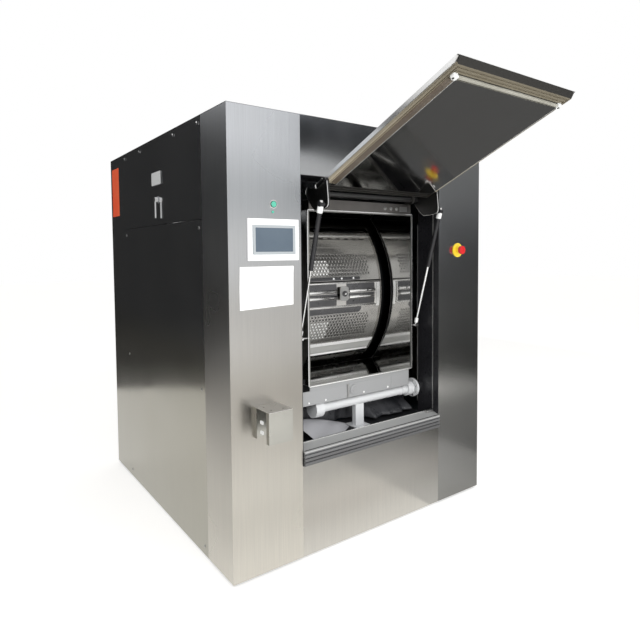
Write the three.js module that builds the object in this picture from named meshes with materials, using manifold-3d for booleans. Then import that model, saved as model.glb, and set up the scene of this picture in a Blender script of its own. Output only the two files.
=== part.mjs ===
// A barrier washer: a double-sided industrial washer-extractor in a stainless cabinet.
// Millimetres, +Z up. The dirty side, with the lifted loading door, faces -Y and +X is to its right.
// The origin is the centre of the base frame, on the floor.
import * as THREE from "three";
import { mergeVertices } from "three/addons/utils/BufferGeometryUtils.js";
import Module from "manifold-3d";

const wasm = await Module();
wasm.setup();

// Driving dimensions
const fit = { seat: 0.3, running: 0.4, overrun: 8 };
const cabinet = { width: 1750, height: 2200, sheet: 3, fold: 18, floorGap: 15 };
const strips = { front: 275, rear: 310, returnDepth: 45 };
const opening = { leftPillar: 392, rightPillar: 375, bottom: 475, header: 288, jambDepth: 165, rearGap: 16 };
const hatch = { height: 500, gap: 2 };
const tub = {
  leftRoom: 340,
  rightRoom: 310,
  topRoom: 264,
  bottomRoom: 644,
  frontRoom: 284,
  wall: 6,
  endPlate: 10,
};
const throat = { topMargin: 182, bottomMargin: 189, wall: 6, rim: 115, bury: 54.5 };
const drum = { gap: 40, endGap: 30, wall: 6, endPlate: 8 };
const drumDoor = { inset: 59, halfAngle: 40, split: 6.5, splitGap: 0.8, hingeBar: 9 };
const door = { leftGap: 98, rightGap: 85, sideLap: 22, topLap: 12, bottomLap: 27, setBack: 88, seal: 7 };
const plug = { depth: 15, sideInset: 57, endInset: 79 };
const doorHinge = { y: 87, rise: 75, openAngle: 113 };
const strut = { gap: 25, lowerY: 130, upperBack: 125, upperDrop: 34 };
const strutFootShare = 0.277;
const frame = { height: 100, sheet: 6, flange: 60, crossFlange: 100 };
const spring = { inset: 55, heel: 196, radius: 75, bottom: 250, top: 420 };
const drive = { pulleyGap: 155, pulleyWidth: 40, drumPulley: 280, motorPulley: 75, motorZ: 270 };

const roundSides = { large: 48, medium: 24, small: 16, slender: 10, belt: 12 };

// Places that several pieces share. The tub fills the height between the springs and the roof, and
// the cabinet is as deep as the tub needs: 1860 mm.
const tubOuter = (cabinet.height - tub.topRoom - tub.bottomRoom) / 2;
const tubInner = tubOuter - tub.wall;
const tubZ = tub.bottomRoom + tubOuter;
const half = { x: cabinet.width / 2, y: tubOuter + tub.frontRoom };
const frontY = -half.y;
const jambLeft = -half.x + opening.leftPillar;
const jambRight = half.x - opening.rightPillar;
const openingTop = cabinet.height - opening.header;
const panelTop = cabinet.height - cabinet.sheet - fit.seat;
const ledgeZ = cabinet.height - hatch.height;

const tubLeft = -half.x + tub.leftRoom;
const tubRight = half.x - tub.rightRoom;
const tubLength = tubRight - tubLeft;
const tubX = (tubLeft + tubRight) / 2;
const springX = tubLength / 2 - spring.inset;
const springY = tubOuter - spring.heel;
const pulleyX = tubRight + drive.pulleyGap;
const drumOuter = tubInner - drum.gap;
const drumLeft = tubLeft + drum.endGap;
const drumRight = tubRight - drum.endGap;

// The loading door fills the opening and covers the throat's rim all round.
const doorLeft = jambLeft + door.leftGap;
const doorRight = jambRight - door.rightGap;
const throatLeft = doorLeft + door.sideLap;
const throatRight = doorRight - door.sideLap;
const throatX = (throatLeft + throatRight) / 2;
const throatTop = tubZ + tubOuter - throat.topMargin;
const throatBottom = tub.bottomRoom + throat.bottomMargin;
const throatHalf = Math.max(throatTop - tubZ, tubZ - throatBottom);
const throatEnd = throat.bury - Math.sqrt(tubOuter ** 2 - throatHalf ** 2);
const rimY = frontY + throat.rim;
const doorTop = throatTop + door.topLap;
const doorBottom = throatBottom - door.bottomLap;
const rearSillZ = doorBottom - opening.rearGap;
const hinge = { y: frontY + doorHinge.y, z: doorTop + doorHinge.rise };
const strutFoot = {
  y: frontY + strut.lowerY,
  z: throatBottom + strutFootShare * (throatTop - throatBottom),
};
const strutLeft = doorLeft - strut.gap;
const strutRight = doorRight + strut.gap;

// Materials
const paint = {
  brushed: [0xb9bbb9, 0.35, 0.9],
  polished: [0xd4d6d6, 0.08, 1],
  satin: [0xa9abaa, 0.45, 0.85],
  cast: [0x8f9392, 0.6, 0.5],
  frameSteel: [0x6c7072, 0.6, 0.6],
  black: [0x151517, 0.55, 0.1],
  rubber: [0x1d1d1e, 0.8, 0],
  olive: [0x6d6656, 0.6, 0.1],
  white: [0xe9e9e6, 0.45, 0],
  screen: [0x8496a6, 0.2, 0.1],
  green: [0x1f9a78, 0.3, 0.1],
  red: [0xc3171b, 0.4, 0.05],
  yellow: [0xe9bb1c, 0.45, 0.05],
  motorBlue: [0x3e5566, 0.5, 0.3],
};

const washer = new THREE.Group();

function piece(name, finish, geometry) {
  const [color, roughness, metalness] = paint[finish];
  const mesh = new THREE.Mesh(
    geometry,
    new THREE.MeshStandardMaterial({ color, roughness, metalness }),
  );
  mesh.name = name;
  washer.add(mesh);
  return mesh;
}

// Solids
function solidOf(geometry) {
  const bare = geometry.clone();
  bare.deleteAttribute("normal");
  bare.deleteAttribute("uv");
  const merged = mergeVertices(bare, 1e-3);
  return new wasm.Manifold(
    new wasm.Mesh({
      numProp: 3,
      vertProperties: merged.attributes.position.array,
      triVerts: new Uint32Array(merged.index.array),
    }),
  );
}

function geometryOf(solid) {
  const mesh = solid.getMesh();
  const geometry = new THREE.BufferGeometry();
  geometry.setAttribute("position", new THREE.BufferAttribute(mesh.vertProperties, 3));
  geometry.setIndex(new THREE.BufferAttribute(mesh.triVerts, 1));
  geometry.computeVertexNormals();
  return geometry;
}

function joined(...geometries) {
  return geometryOf(geometries.map(solidOf).reduce((sum, next) => sum.add(next)));
}

function cut(geometry, ...tools) {
  return geometryOf(tools.map(solidOf).reduce((rest, tool) => rest.subtract(tool), solidOf(geometry)));
}

// A block between two corners along each axis.
function block([x0, x1], [y0, y1], [z0, z1]) {
  const box = new THREE.BoxGeometry(x1 - x0, y1 - y0, z1 - z0);
  return box.translate((x0 + x1) / 2, (y0 + y1) / 2, (z0 + z1) / 2);
}

function extruded(points, depth) {
  const shape = new THREE.Shape(points.map(([u, v]) => new THREE.Vector2(u, v)));
  return new THREE.ExtrudeGeometry(shape, { depth, bevelEnabled: false });
}

// An outline of [y, z] points, drawn out along X.
function prismX(points, [x0, x1]) {
  const turn = new THREE.Matrix4().set(0, 0, 1, x0, 1, 0, 0, 0, 0, 1, 0, 0, 0, 0, 0, 1);
  return extruded(points, x1 - x0).applyMatrix4(turn);
}

// An outline of [x, z] points, drawn out along Y.
function prismY(points, [y0, y1]) {
  const turn = new THREE.Matrix4().set(1, 0, 0, 0, 0, 0, -1, y1, 0, 1, 0, 0, 0, 0, 0, 1);
  return extruded(points, y1 - y0).applyMatrix4(turn);
}

// An outline of [x, y] points, drawn out along Z.
function prismZ(points, [z0, z1]) {
  return extruded(points, z1 - z0).translate(0, 0, z0);
}

function rod(radius, length, sides) {
  return new THREE.CylinderGeometry(radius, radius, length, sides);
}

function rodX(radius, [x0, x1], y, z, sides = roundSides.medium) {
  return rod(radius, x1 - x0, sides)
    .rotateZ(-Math.PI / 2)
    .translate((x0 + x1) / 2, y, z);
}

function rodY(radius, [y0, y1], x, z, sides = roundSides.small) {
  return rod(radius, y1 - y0, sides).translate(x, (y0 + y1) / 2, z);
}

function rodZ(radius, [z0, z1], x, y, sides = roundSides.small) {
  return rod(radius, z1 - z0, sides)
    .rotateX(Math.PI / 2)
    .translate(x, y, (z0 + z1) / 2);
}

function ringX(outer, inner, [x0, x1], y, z, sides = roundSides.medium) {
  const bore = [x0 - fit.overrun, x1 + fit.overrun];
  return cut(rodX(outer, [x0, x1], y, z, sides), rodX(inner, bore, y, z, sides));
}

// A folded sheet tray: a block hollowed out and left open on one face.
function tray(spans, axis, side, sheet = cabinet.sheet) {
  const hollow = spans.map(([low, high]) => [low + sheet, high - sheet]);
  const [low, high] = spans[axis];
  hollow[axis] = side > 0 ? [low + sheet, high + fit.overrun] : [low - fit.overrun, high - sheet];
  return cut(block(...spans), block(...hollow));
}

function mirroredY(geometry) {
  return mirrored(geometry, new THREE.Matrix4().makeScale(1, -1, 1));
}

// A mirroring matrix turns the faces inside out, so each triangle is turned back.
function mirrored(geometry, matrix) {
  const flipped = (geometry.index ? geometry.toNonIndexed() : geometry.clone()).applyMatrix4(matrix);
  const place = flipped.attributes.position;
  for (let i = 0; i < place.count; i += 3) {
    const [a, b] = [i + 1, i + 2].map((k) => [place.getX(k), place.getY(k), place.getZ(k)]);
    place.setXYZ(i + 1, ...b);
    place.setXYZ(i + 2, ...a);
  }
  flipped.computeVertexNormals();
  return flipped;
}

const radians = THREE.MathUtils.degToRad;

// Points on a circle about the drum's axis, as [y, z]. Angle 0 faces the dirty side, 90 is the top.
function drumPoint(radius, degrees) {
  return [-radius * Math.cos(radians(degrees)), tubZ + radius * Math.sin(radians(degrees))];
}

function drumArc(radius, from, to, steps) {
  return Array.from({ length: steps + 1 }, (_, i) => drumPoint(radius, from + ((to - from) * i) / steps));
}

// Base frame: two side rails and five cross channels, with a pedestal under each air spring
const pedestal = { width: 140 };

function baseFrame() {
  const rail = half.x - cabinet.fold - fit.seat;
  const end = half.y - strips.returnDepth - fit.seat;
  const { height, sheet, flange, crossFlange } = frame;
  const channel = (outer, inward, wide) => [
    [outer, 0],
    [outer + inward * wide, 0],
    [outer + inward * wide, sheet],
    [outer + inward * sheet, sheet],
    [outer + inward * sheet, height - sheet],
    [outer + inward * wide, height - sheet],
    [outer + inward * wide, height],
    [outer, height],
  ];
  const parts = [
    prismY(channel(-rail, 1, flange), [-end, end]),
    prismY(channel(rail, -1, flange), [-end, end]),
    prismX(channel(-end, 1, crossFlange), [-rail, rail]),
    prismX(channel(end, -1, crossFlange), [-rail, rail]),
  ];
  for (const y of [-springY, 0, springY]) {
    const web = y > 0 ? -1 : 1;
    parts.push(prismX(channel(y - (web * crossFlange) / 2, web, crossFlange), [-rail, rail]));
  }
  const wide = pedestal.width / 2;
  for (const x of [tubX - springX, tubX + springX]) {
    for (const y of [-springY, springY]) {
      const spans = [
        [x - wide, x + wide],
        [y - wide, y + wide],
        [height - sheet / 2, spring.bottom],
      ];
      parts.push(tray(spans, 2, -1, sheet));
    }
  }
  return joined(...parts);
}

piece("base_frame", "frameSteel", baseFrame());

// Cabinet skin: a folded casing at each corner, trays between them
const controls = { panelGap: 160, buttonDrop: 439, screenDrop: 604, stopGap: 170, stopDrop: 657 };
const panelX = jambLeft - controls.panelGap;
const stopX = jambRight + controls.stopGap;
const buttonZ = cabinet.height - controls.buttonDrop;
const screenZ = cabinet.height - controls.screenDrop;
const stopZ = cabinet.height - controls.stopDrop;
const button = { radius: 14, ring: 20, ringDepth: 8, proud: 11, length: 22, travel: 3 };
const stop = { disc: 43, discDepth: 4, collar: 19, collarDepth: 16, stem: 10, head: 25, headDepth: 16 };
const stopTravel = 5;

function cornerCasing(sideX, sideY, pillar, strip) {
  const { sheet, fold, floorGap } = cabinet;
  const inner = pillar - sheet - fit.seat;
  const outline = [
    [inner, strips.returnDepth],
    [inner, 0],
    [0, 0],
    [0, strip],
    [fold, strip],
    [fold, strip - sheet],
    [sheet, strip - sheet],
    [sheet, sheet],
    [inner - sheet, sheet],
    [inner - sheet, strips.returnDepth],
  ];
  const placed = outline.map(([x, y]) => [sideX * (half.x - x), sideY * (half.y - y)]);
  return prismZ(placed, [floorGap, panelTop]);
}

function casingHole(radius, x, z) {
  return rodY(radius + fit.running, [frontY - fit.overrun, frontY + fit.overrun], x, z);
}

piece(
  "casing_front_left",
  "brushed",
  cut(
    cornerCasing(-1, -1, opening.leftPillar, strips.front),
    casingHole(button.radius, panelX, buttonZ),
  ),
);
piece(
  "casing_front_right",
  "brushed",
  cut(
    cornerCasing(1, -1, opening.rightPillar, strips.front),
    casingHole(stop.stem, stopX, stopZ),
  ),
);
piece("casing_rear_left", "brushed", cornerCasing(-1, 1, opening.leftPillar, strips.rear));
piece("casing_rear_right", "brushed", cornerCasing(1, 1, opening.rightPillar, strips.rear));

const bay = [jambLeft - cabinet.sheet, jambRight + cabinet.sheet];
const frontSkin = [frontY, frontY + cabinet.fold];
const rearSkin = [half.y - cabinet.fold, half.y];
const headerSpan = [openingTop + fit.seat, panelTop];
const lowerSpan = [cabinet.floorGap, opening.bottom - fit.seat];

piece("header_front", "brushed", tray([bay, frontSkin, headerSpan], 1, 1));
piece("lower_panel_front", "brushed", tray([bay, frontSkin, lowerSpan], 1, 1));

const sideSpan = [frontY + strips.front + fit.seat, half.y - strips.rear - fit.seat];
const sideHeight = [cabinet.floorGap, panelTop];
const hatchBottom = ledgeZ + hatch.gap;

piece(
  "side_panel_left",
  "brushed",
  tray([[-half.x, -half.x + cabinet.fold], sideSpan, [cabinet.floorGap, ledgeZ]], 0, 1),
);
piece("side_panel_right", "brushed", tray([[half.x - cabinet.fold, half.x], sideSpan, sideHeight], 0, -1));

const roof = [cabinet.height - cabinet.sheet, cabinet.height];
piece("top_panel", "brushed", block([-half.x, half.x], [-half.y, half.y], roof));

// The black jamb: a folded frame on the two sides and the top of the loading bay
function jambFrame(bottom) {
  const { sheet } = cabinet;
  const outline = [
    [jambLeft - sheet, bottom],
    [jambLeft, bottom],
    [jambLeft, openingTop - sheet],
    [jambRight, openingTop - sheet],
    [jambRight, bottom],
    [jambRight + sheet, bottom],
    [jambRight + sheet, openingTop],
    [jambLeft - sheet, openingTop],
  ];
  return prismY(outline, [frontY, frontY + opening.jambDepth]);
}

piece("jamb_frame", "black", jambFrame(opening.bottom));
piece(
  "surround_rear",
  "brushed",
  joined(
    tray([bay, rearSkin, [openingTop - cabinet.sheet, panelTop]], 1, -1),
    mirroredY(jambFrame(rearSillZ)),
  ),
);

// Sill: a ribbed nosing across the bay, with a drip shelf behind it
const sill = { proud: 15, ribs: 4, ribDepth: 7, height: 75, rearHeight: 95, rear: 60, sheet: 3 };
const shelf = { rise: 60, rear: 320 };
const shelfZ = opening.bottom + shelf.rise;
const sillGroovesShare = 0.35;

function sillProfile() {
  const { proud, ribs, ribDepth, height, rearHeight, rear, sheet } = sill;
  const frontTop = opening.bottom + height;
  const rearTop = opening.bottom + rearHeight;
  const pitch = height / ribs;
  const points = [];
  for (let i = 0; i < ribs; i++) {
    const low = opening.bottom + i * pitch;
    const ribStart = low + pitch * sillGroovesShare;
    points.push([-proud + ribDepth, low], [-proud + ribDepth, ribStart]);
    points.push([-proud, ribStart], [-proud, low + pitch]);
  }
  points.push([rear, rearTop], [rear, shelfZ + sheet], [shelf.rear, shelfZ + sheet]);
  points.push([shelf.rear, shelfZ], [rear - sheet, shelfZ], [rear - sheet, rearTop - 2 * sheet]);
  points.push([-proud + ribDepth + sheet, frontTop - 2 * sheet]);
  points.push([-proud + ribDepth + sheet, opening.bottom]);
  return points.map(([y, z]) => [frontY + y, z]);
}

piece("sill_front", "satin", prismX(sillProfile(), [jambLeft + fit.seat, jambRight - fit.seat]));

// Lower panel of the clean side, folded over at its top into a plain sill
function rearLower() {
  const top = rearSillZ - fit.seat;
  const panel = tray([bay, rearSkin, [cabinet.floorGap, top]], 1, -1);
  return joined(panel, block(bay, [half.y - opening.jambDepth, half.y], [top - cabinet.sheet, top]));
}

piece("lower_panel_rear", "brushed", rearLower());

// Control panel with its screen
const hmi = {
  width: 274,
  height: 193,
  depth: 10,
  windowWidth: 229,
  windowHeight: 135,
  recess: 4,
  screen: 3,
};
const hmiFront = frontY - fit.seat - hmi.depth;

function centred(middle, size) {
  return [middle - size / 2, middle + size / 2];
}

piece(
  "hmi_bezel",
  "white",
  cut(
    block(centred(panelX, hmi.width), [hmiFront, frontY - fit.seat], centred(screenZ, hmi.height)),
    block(
      centred(panelX, hmi.windowWidth),
      [hmiFront - fit.overrun, hmiFront + hmi.recess],
      centred(screenZ, hmi.windowHeight),
    ),
  ),
);
piece(
  "hmi_screen",
  "screen",
  block(
    centred(panelX, hmi.windowWidth - 2 * fit.seat),
    [hmiFront + hmi.recess - fit.seat - hmi.screen, hmiFront + hmi.recess - fit.seat],
    centred(screenZ, hmi.windowHeight - 2 * fit.seat),
  ),
);

// Start button in its ring
function ringY(outer, inner, [y0, y1], x, z) {
  return cut(rodY(outer, [y0, y1], x, z), rodY(inner, [y0 - fit.overrun, y1 + fit.overrun], x, z));
}

const skinFace = frontY - fit.seat;

piece(
  "button_ring",
  "polished",
  ringY(
    button.ring,
    button.radius + fit.running,
    [skinFace - button.ringDepth, skinFace],
    panelX,
    buttonZ,
  ),
);
piece(
  "start_button",
  "green",
  rodY(
    button.radius,
    [frontY - button.proud, frontY - button.proud + button.length],
    panelX,
    buttonZ,
  ),
);

// Emergency stop: yellow disc with a collar, red mushroom on a stem
function stopRing() {
  const collarFront = skinFace - stop.discDepth - stop.collarDepth;
  const disc = rodY(stop.disc, [skinFace - stop.discDepth, skinFace], stopX, stopZ);
  const collar = rodY(stop.collar, [collarFront, skinFace], stopX, stopZ);
  const bore = [collarFront - fit.overrun, skinFace + fit.overrun];
  return cut(joined(disc, collar), rodY(stop.stem + fit.running, bore, stopX, stopZ));
}

function stopButton() {
  const collarFront = skinFace - stop.discDepth - stop.collarDepth;
  const headBack = collarFront - stopTravel - fit.seat;
  const head = rodY(stop.head, [headBack - stop.headDepth, headBack], stopX, stopZ);
  const stem = rodY(stop.stem, [headBack - stop.headDepth / 2, frontY], stopX, stopZ);
  return joined(head, stem);
}

piece("stop_ring", "yellow", stopRing());
piece("stop_button", "red", stopButton());

// Catch box: a folded hood on the left pillar, open to the left and below, with a bolting flange
const catchBoxHoleShares = [0.25, 0.75];
const catchBox = { left: 118, width: 126, depth: 135, bottom: 680, height: 145, flange: 24, hole: 5 };

function catchBoxHood() {
  const { left, width, depth, bottom, height, flange, hole } = catchBox;
  const { sheet } = cabinet;
  const x0 = -half.x + left;
  const x1 = x0 + width;
  const top = bottom + height;
  const front = skinFace - depth;
  const parts = [
    block([x0, x1], [front, skinFace], [top - sheet, top]),
    block([x0, x1], [front, front + sheet], [bottom, top]),
    block([x1 - sheet, x1], [front, skinFace], [bottom, top]),
    block([x0, x1], [skinFace - sheet, skinFace], [bottom, top]),
    block([x0, x0 + sheet], [front, front + flange], [bottom, top]),
    block([x0, x0 + sheet], [skinFace - flange, skinFace], [bottom, top]),
  ];
  const drills = [];
  for (const share of catchBoxHoleShares) {
    for (const y of catchBoxHoleShares) {
      const span = [top - sheet - fit.overrun, top + fit.overrun];
      drills.push(rodZ(hole, span, x0 + share * width, front + y * depth, roundSides.slender));
    }
  }
  return cut(joined(...parts), ...drills);
}

piece("catch_box", "brushed", catchBoxHood());

// Spray manifold: a horizontal pipe under the throat on a post from the drip shelf
const manifold = { y: 180, drop: 143, leftGap: 205, rightGap: 45, radius: 30, cap: 50, capLength: 55 };
const manifoldFlange = { radius: 57, length: 14 };
const manifoldCollar = { radius: 43, rightGap: 60, length: 44 };
const post = { offset: 7, width: 60, depth: 30, foot: 104, footSheet: 5 };

function manifoldPipe() {
  const y = frontY + manifold.y;
  const { radius, cap, capLength } = manifold;
  const z = throatBottom - manifold.drop;
  const left = jambLeft + manifold.leftGap;
  const right = jambRight - manifold.rightGap;
  const collarRight = jambRight - manifoldCollar.rightGap;
  const postX = throatX + post.offset;
  const flangeRight = right + manifoldFlange.length;
  const shelfTop = shelfZ + sill.sheet + fit.seat;
  return joined(
    rodX(radius, [left, right], y, z),
    rodX(cap, [left - capLength / 2, left + capLength / 2], y, z),
    rodX(manifoldFlange.radius, [right, flangeRight], y, z),
    rodX(manifoldCollar.radius, [collarRight - manifoldCollar.length, collarRight], y, z),
    rodX(radius, [right - manifoldFlange.length, flangeRight + capLength / 2], y, z),
    block(centred(postX, post.width), centred(y, post.depth), [shelfTop, z]),
    block(centred(postX, post.foot), centred(y, post.foot), [shelfTop, shelfTop + post.footSheet]),
  );
}

piece("manifold_pipe", "cast", manifoldPipe());

// Upper hatch on the left side, hung at its top, with a lever lock
const lever = { offset: 20.5, rise: 143, hub: 15, depth: 16, length: 105, width: 13, thickness: 8 };
const rose = { radius: 20, depth: 4 };
const leverY = (sideSpan[0] + sideSpan[1]) / 2 - lever.offset;
const leverZ = hatchBottom + lever.rise;

function sideHatch() {
  const skin = tray([[-half.x, -half.x + cabinet.fold], sideSpan, [hatchBottom, panelTop]], 0, 1);
  const plate = rodX(rose.radius, [-half.x - rose.depth, -half.x + cabinet.sheet], leverY, leverZ);
  return joined(skin, plate);
}

function hatchLever() {
  const back = -half.x - rose.depth - fit.seat;
  const front = back - lever.depth;
  const grip = [leverZ - lever.length, leverZ];
  return joined(
    rodX(lever.hub, [front, back], leverY, leverZ, roundSides.small),
    block([front, front + lever.thickness], centred(leverY, lever.width), grip),
  );
}

piece("side_hatch", "brushed", sideHatch());
piece("hatch_lever", "polished", hatchLever());

// Tub: an open cylinder with a square throat at the front and one at the rear
const throatInside = [throatLeft + throat.wall, throatRight - throat.wall];
const throatHeight = [throatBottom + throat.wall, throatTop - throat.wall];

function tubShell() {
  const shell = ringX(tubOuter, tubInner, [tubLeft, tubRight], 0, tubZ, roundSides.large);
  const through = [-tubOuter - fit.overrun, tubOuter + fit.overrun];
  const outlet = rodZ(drain.radius - drain.wall, [drain.level, tubZ], tubX - drain.offset, 0);
  return cut(shell, block(throatInside, through, throatHeight), outlet);
}

// Drain: a pipe from the lowest line of the tub, bent towards the clean side
const drain = { offset: 155, radius: 52, wall: 4, level: 400, rearGap: 130 };

function drainPipe() {
  const { radius, wall, level } = drain;
  const x = tubX - drain.offset;
  const end = half.y - drain.rearGap;
  const bend = new THREE.SphereGeometry(radius, roundSides.small, roundSides.slender);
  bend.rotateX(Math.PI / 2).translate(x, 0, level);
  const inner = radius - wall;
  const outside = joined(rodZ(radius, [level, tubZ], x, 0), rodY(radius, [0, end], x, level), bend);
  return cut(
    outside,
    rodX(tubOuter + fit.seat, [x - 2 * radius, x + 2 * radius], 0, tubZ, roundSides.large),
    rodZ(inner, [level, tubZ + fit.overrun], x, 0),
    rodY(inner, [-inner / 2, end + fit.overrun], x, level),
  );
}

function tubEnd(outerX) {
  const span = outerX < tubX ? [outerX - tub.endPlate, outerX] : [outerX, outerX + tub.endPlate];
  return ringX(tubOuter, shaft.radius + shaft.sealGap, span, 0, tubZ, roundSides.large);
}

const shaft = { radius: 60, sealGap: 4 };
const housing = { radius: 150, length: 118, flange: 210, flangeDepth: 20 };

function bearingHousing(sideX) {
  const inner = tubLength / 2 + tub.endPlate + 2 * fit.seat;
  const span = (from, to) => (sideX < 0 ? [tubX - to, tubX - from] : [tubX + from, tubX + to]);
  const body = joined(
    rodX(housing.radius, span(inner, inner + housing.length), 0, tubZ),
    rodX(housing.flange, span(inner, inner + housing.flangeDepth), 0, tubZ),
  );
  const bore = span(inner - fit.overrun, inner + housing.length + fit.overrun);
  return cut(body, rodX(shaft.radius + fit.running, bore, 0, tubZ, roundSides.large));
}

// Throat: a square steel duct from the rim back to the tub's cylinder
function throatDuct() {
  const duct = [rimY, throatEnd];
  const outer = block([throatLeft, throatRight], duct, [throatBottom, throatTop]);
  const inner = block(throatInside, [duct[0] - fit.overrun, duct[1] + fit.overrun], throatHeight);
  const tubSpace = [tubLeft - fit.overrun, tubRight + fit.overrun];
  return cut(outer, inner, rodX(tubOuter + fit.seat, tubSpace, 0, tubZ, roundSides.large));
}

const apron = { sheet: 4, height: 105, setBack: 14, inset: 12, rib: 34, ribCount: 3 };
const stud = { radius: 6, eye: 14, eyeWidth: 26, head: 3 };

function throatFront() {
  const y = rimY + apron.setBack;
  const wide = [throatLeft + apron.inset, throatRight - apron.inset];
  const tall = [throatBottom - apron.height, throatBottom + throat.wall / 2];
  const plate = block(wide, [y, y + apron.sheet], tall);
  const ribs = Array.from({ length: apron.ribCount }, (_, i) => {
    const x = wide[0] + ((i + 1) * (wide[1] - wide[0])) / (apron.ribCount + 1);
    return block(centred(x, apron.sheet), [y, y + apron.rib], tall);
  });
  const eyeFar = stud.eyeWidth / 2 + stud.head;
  const studs = [
    [strutLeft - eyeFar, throatLeft + throat.wall / 2],
    [throatRight - throat.wall / 2, strutRight + eyeFar],
  ].map((span) => rodX(stud.radius, span, strutFoot.y, strutFoot.z, roundSides.small));
  return joined(throatDuct(), plate, ...ribs, ...studs);
}

piece("tub_shell", "satin", tubShell());
piece("tub_end_left", "satin", tubEnd(tubLeft - fit.seat));
piece("tub_end_right", "satin", tubEnd(tubRight + fit.seat));
piece("bearing_housing_left", "cast", bearingHousing(-1));
piece("bearing_housing_right", "cast", bearingHousing(1));
piece("throat_front", "polished", throatFront());
piece("drain_pipe", "satin", drainPipe());

// Hinge beam over the throat, with lugs that carry the door's torsion tube
const beam = { height: 60, depth: 60, sheet: 5, inset: 8, setBack: 3 };
const lug = { width: 16, radius: 27, inset: 22 };
const torsion = { radius: 16 };

function hingeBeam(foot) {
  const { height, depth, sheet, inset, setBack } = beam;
  const [y0, y1] = [rimY + setBack, rimY + setBack + depth];
  const [z0, z1] = [foot, throatTop + height];
  const channel = [
    [y0, z0],
    [y1, z0],
    [y1, z0 + sheet],
    [y0 + sheet, z0 + sheet],
    [y0 + sheet, z1 - sheet],
    [y1, z1 - sheet],
    [y1, z1],
    [y0, z1],
  ];
  const wide = [throatLeft + inset, throatRight - inset];
  const cheek = [
    [y0, z1 - sheet],
    [y1, z1 - sheet],
    [hinge.y + lug.radius, hinge.z],
    [hinge.y, hinge.z + lug.radius],
    [hinge.y - lug.radius, hinge.z],
  ];
  const parts = [prismX(channel, wide)];
  const starts = [wide[0] + lug.inset, wide[1] - lug.inset - lug.width];
  for (const x of starts) {
    const span = [x, x + lug.width];
    parts.push(prismX(cheek, span), rodX(lug.radius, span, hinge.y, hinge.z));
  }
  const bore = [wide[0] - fit.overrun, wide[1] + fit.overrun];
  return cut(joined(...parts), rodX(torsion.radius + fit.running, bore, hinge.y, hinge.z));
}

piece("hinge_beam_front", "satin", hingeBeam(throatTop + fit.seat));
piece("throat_rear", "polished", mirroredY(joined(throatDuct(), hingeBeam(throatTop - throat.wall / 2))));

// Cradles under the tub, standing on four air springs
const cradle = { plate: 20, margin: 176, rise: 206, foot: 160, footSheet: 12, footHeight: 60, heel: 80 };
const bellows = { waist: 55, folds: 3, plate: 6 };

function cradlePlate(x) {
  const end = springY + cradle.heel;
  const low = spring.top + cradle.footHeight;
  const reach = tubOuter - cradle.margin;
  const crest = tub.bottomRoom + cradle.rise;
  const outline = [
    [-end, spring.top],
    [end, spring.top],
    [end, low],
    [reach, crest],
    [-reach, crest],
    [-end, low],
  ];
  const plate = cut(
    prismX(outline, centred(x, cradle.plate)),
    rodX(tubOuter + fit.seat, centred(x, cradle.foot), 0, tubZ, roundSides.large),
  );
  const feet = [-springY, springY].map((y) =>
    block(centred(x, cradle.foot), centred(y, cradle.foot), [spring.top, spring.top + cradle.footSheet]),
  );
  return joined(plate, ...feet);
}

function airSpring(x, y) {
  const low = spring.bottom + fit.seat;
  const high = spring.top - fit.seat;
  const { waist, folds, plate } = bellows;
  const pitch = (high - low - 2 * plate) / folds;
  const profile = [
    [0, low],
    [waist, low],
  ];
  for (let i = 0; i < folds; i++) {
    const foot = low + plate + i * pitch;
    profile.push([waist, foot], [spring.radius, foot + pitch / 2]);
  }
  profile.push([waist, high - plate], [waist, high], [0, high]);
  const turned = new THREE.LatheGeometry(
    profile.map(([r, z]) => new THREE.Vector2(r, z)),
    roundSides.small,
  );
  return turned.rotateX(Math.PI / 2).translate(x, y, 0);
}

for (const [side, x] of [
  ["left", tubX - springX],
  ["right", tubX + springX],
]) {
  piece(`cradle_${side}`, "frameSteel", cradlePlate(x));
  piece(`air_spring_front_${side}`, "rubber", airSpring(x, -springY));
  piece(`air_spring_rear_${side}`, "rubber", airSpring(x, springY));
}

// Splash curtain: a rubber sheet that hangs in folds under the throat
const curtain = { y: 262, sheet: 4, leftGap: 43, rightGap: 30, footGap: 25 };
const curtainFold = { count: 7, wave: 14, steps: 4 };
const curtainSwellShare = 0.4;

function splashCurtain() {
  const { y, sheet } = curtain;
  const { count, wave } = curtainFold;
  const left = jambLeft + curtain.leftGap;
  const right = jambRight - curtain.rightGap;
  const steps = count * curtainFold.steps;
  const sway = (i) => {
    const turn = (i / steps) * count * 2 * Math.PI;
    const swell = (1 - Math.cos(turn / count)) * curtainSwellShare;
    return wave * (Math.sin(turn) * swell + Math.sin(turn / 2));
  };
  const face = (offset) =>
    Array.from({ length: steps + 1 }, (_, i) => [
      left + ((right - left) * i) / steps,
      frontY + y + sway(i) + offset,
    ]);
  return prismZ([...face(0), ...face(sheet).reverse()], [shelfZ + curtain.footGap, throatBottom - fit.seat]);
}

piece("splash_curtain", "rubber", splashCurtain());

// Drive: a motor slung under the right cradle, with a belt up to the drum's pulley
const motor = { radius: 110, length: 342, endGap: 48, footWidth: 150, footLength: 130, shaft: 22 };
const belt = { thickness: 9, width: 34 };
const pulley = { hub: 95, web: 14, rim: 22 };

function driveMotor() {
  const foot = spring.top - fit.seat;
  const x = tubX + springX;
  const end = pulleyX - motor.endGap;
  return joined(
    rodX(motor.radius, [end - motor.length, end], 0, drive.motorZ),
    rodX(motor.shaft, [end - fit.overrun, pulleyX + drive.pulleyWidth / 2], 0, drive.motorZ),
    block(centred(x, motor.footLength), centred(0, motor.footWidth), [drive.motorZ, foot]),
  );
}

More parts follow.
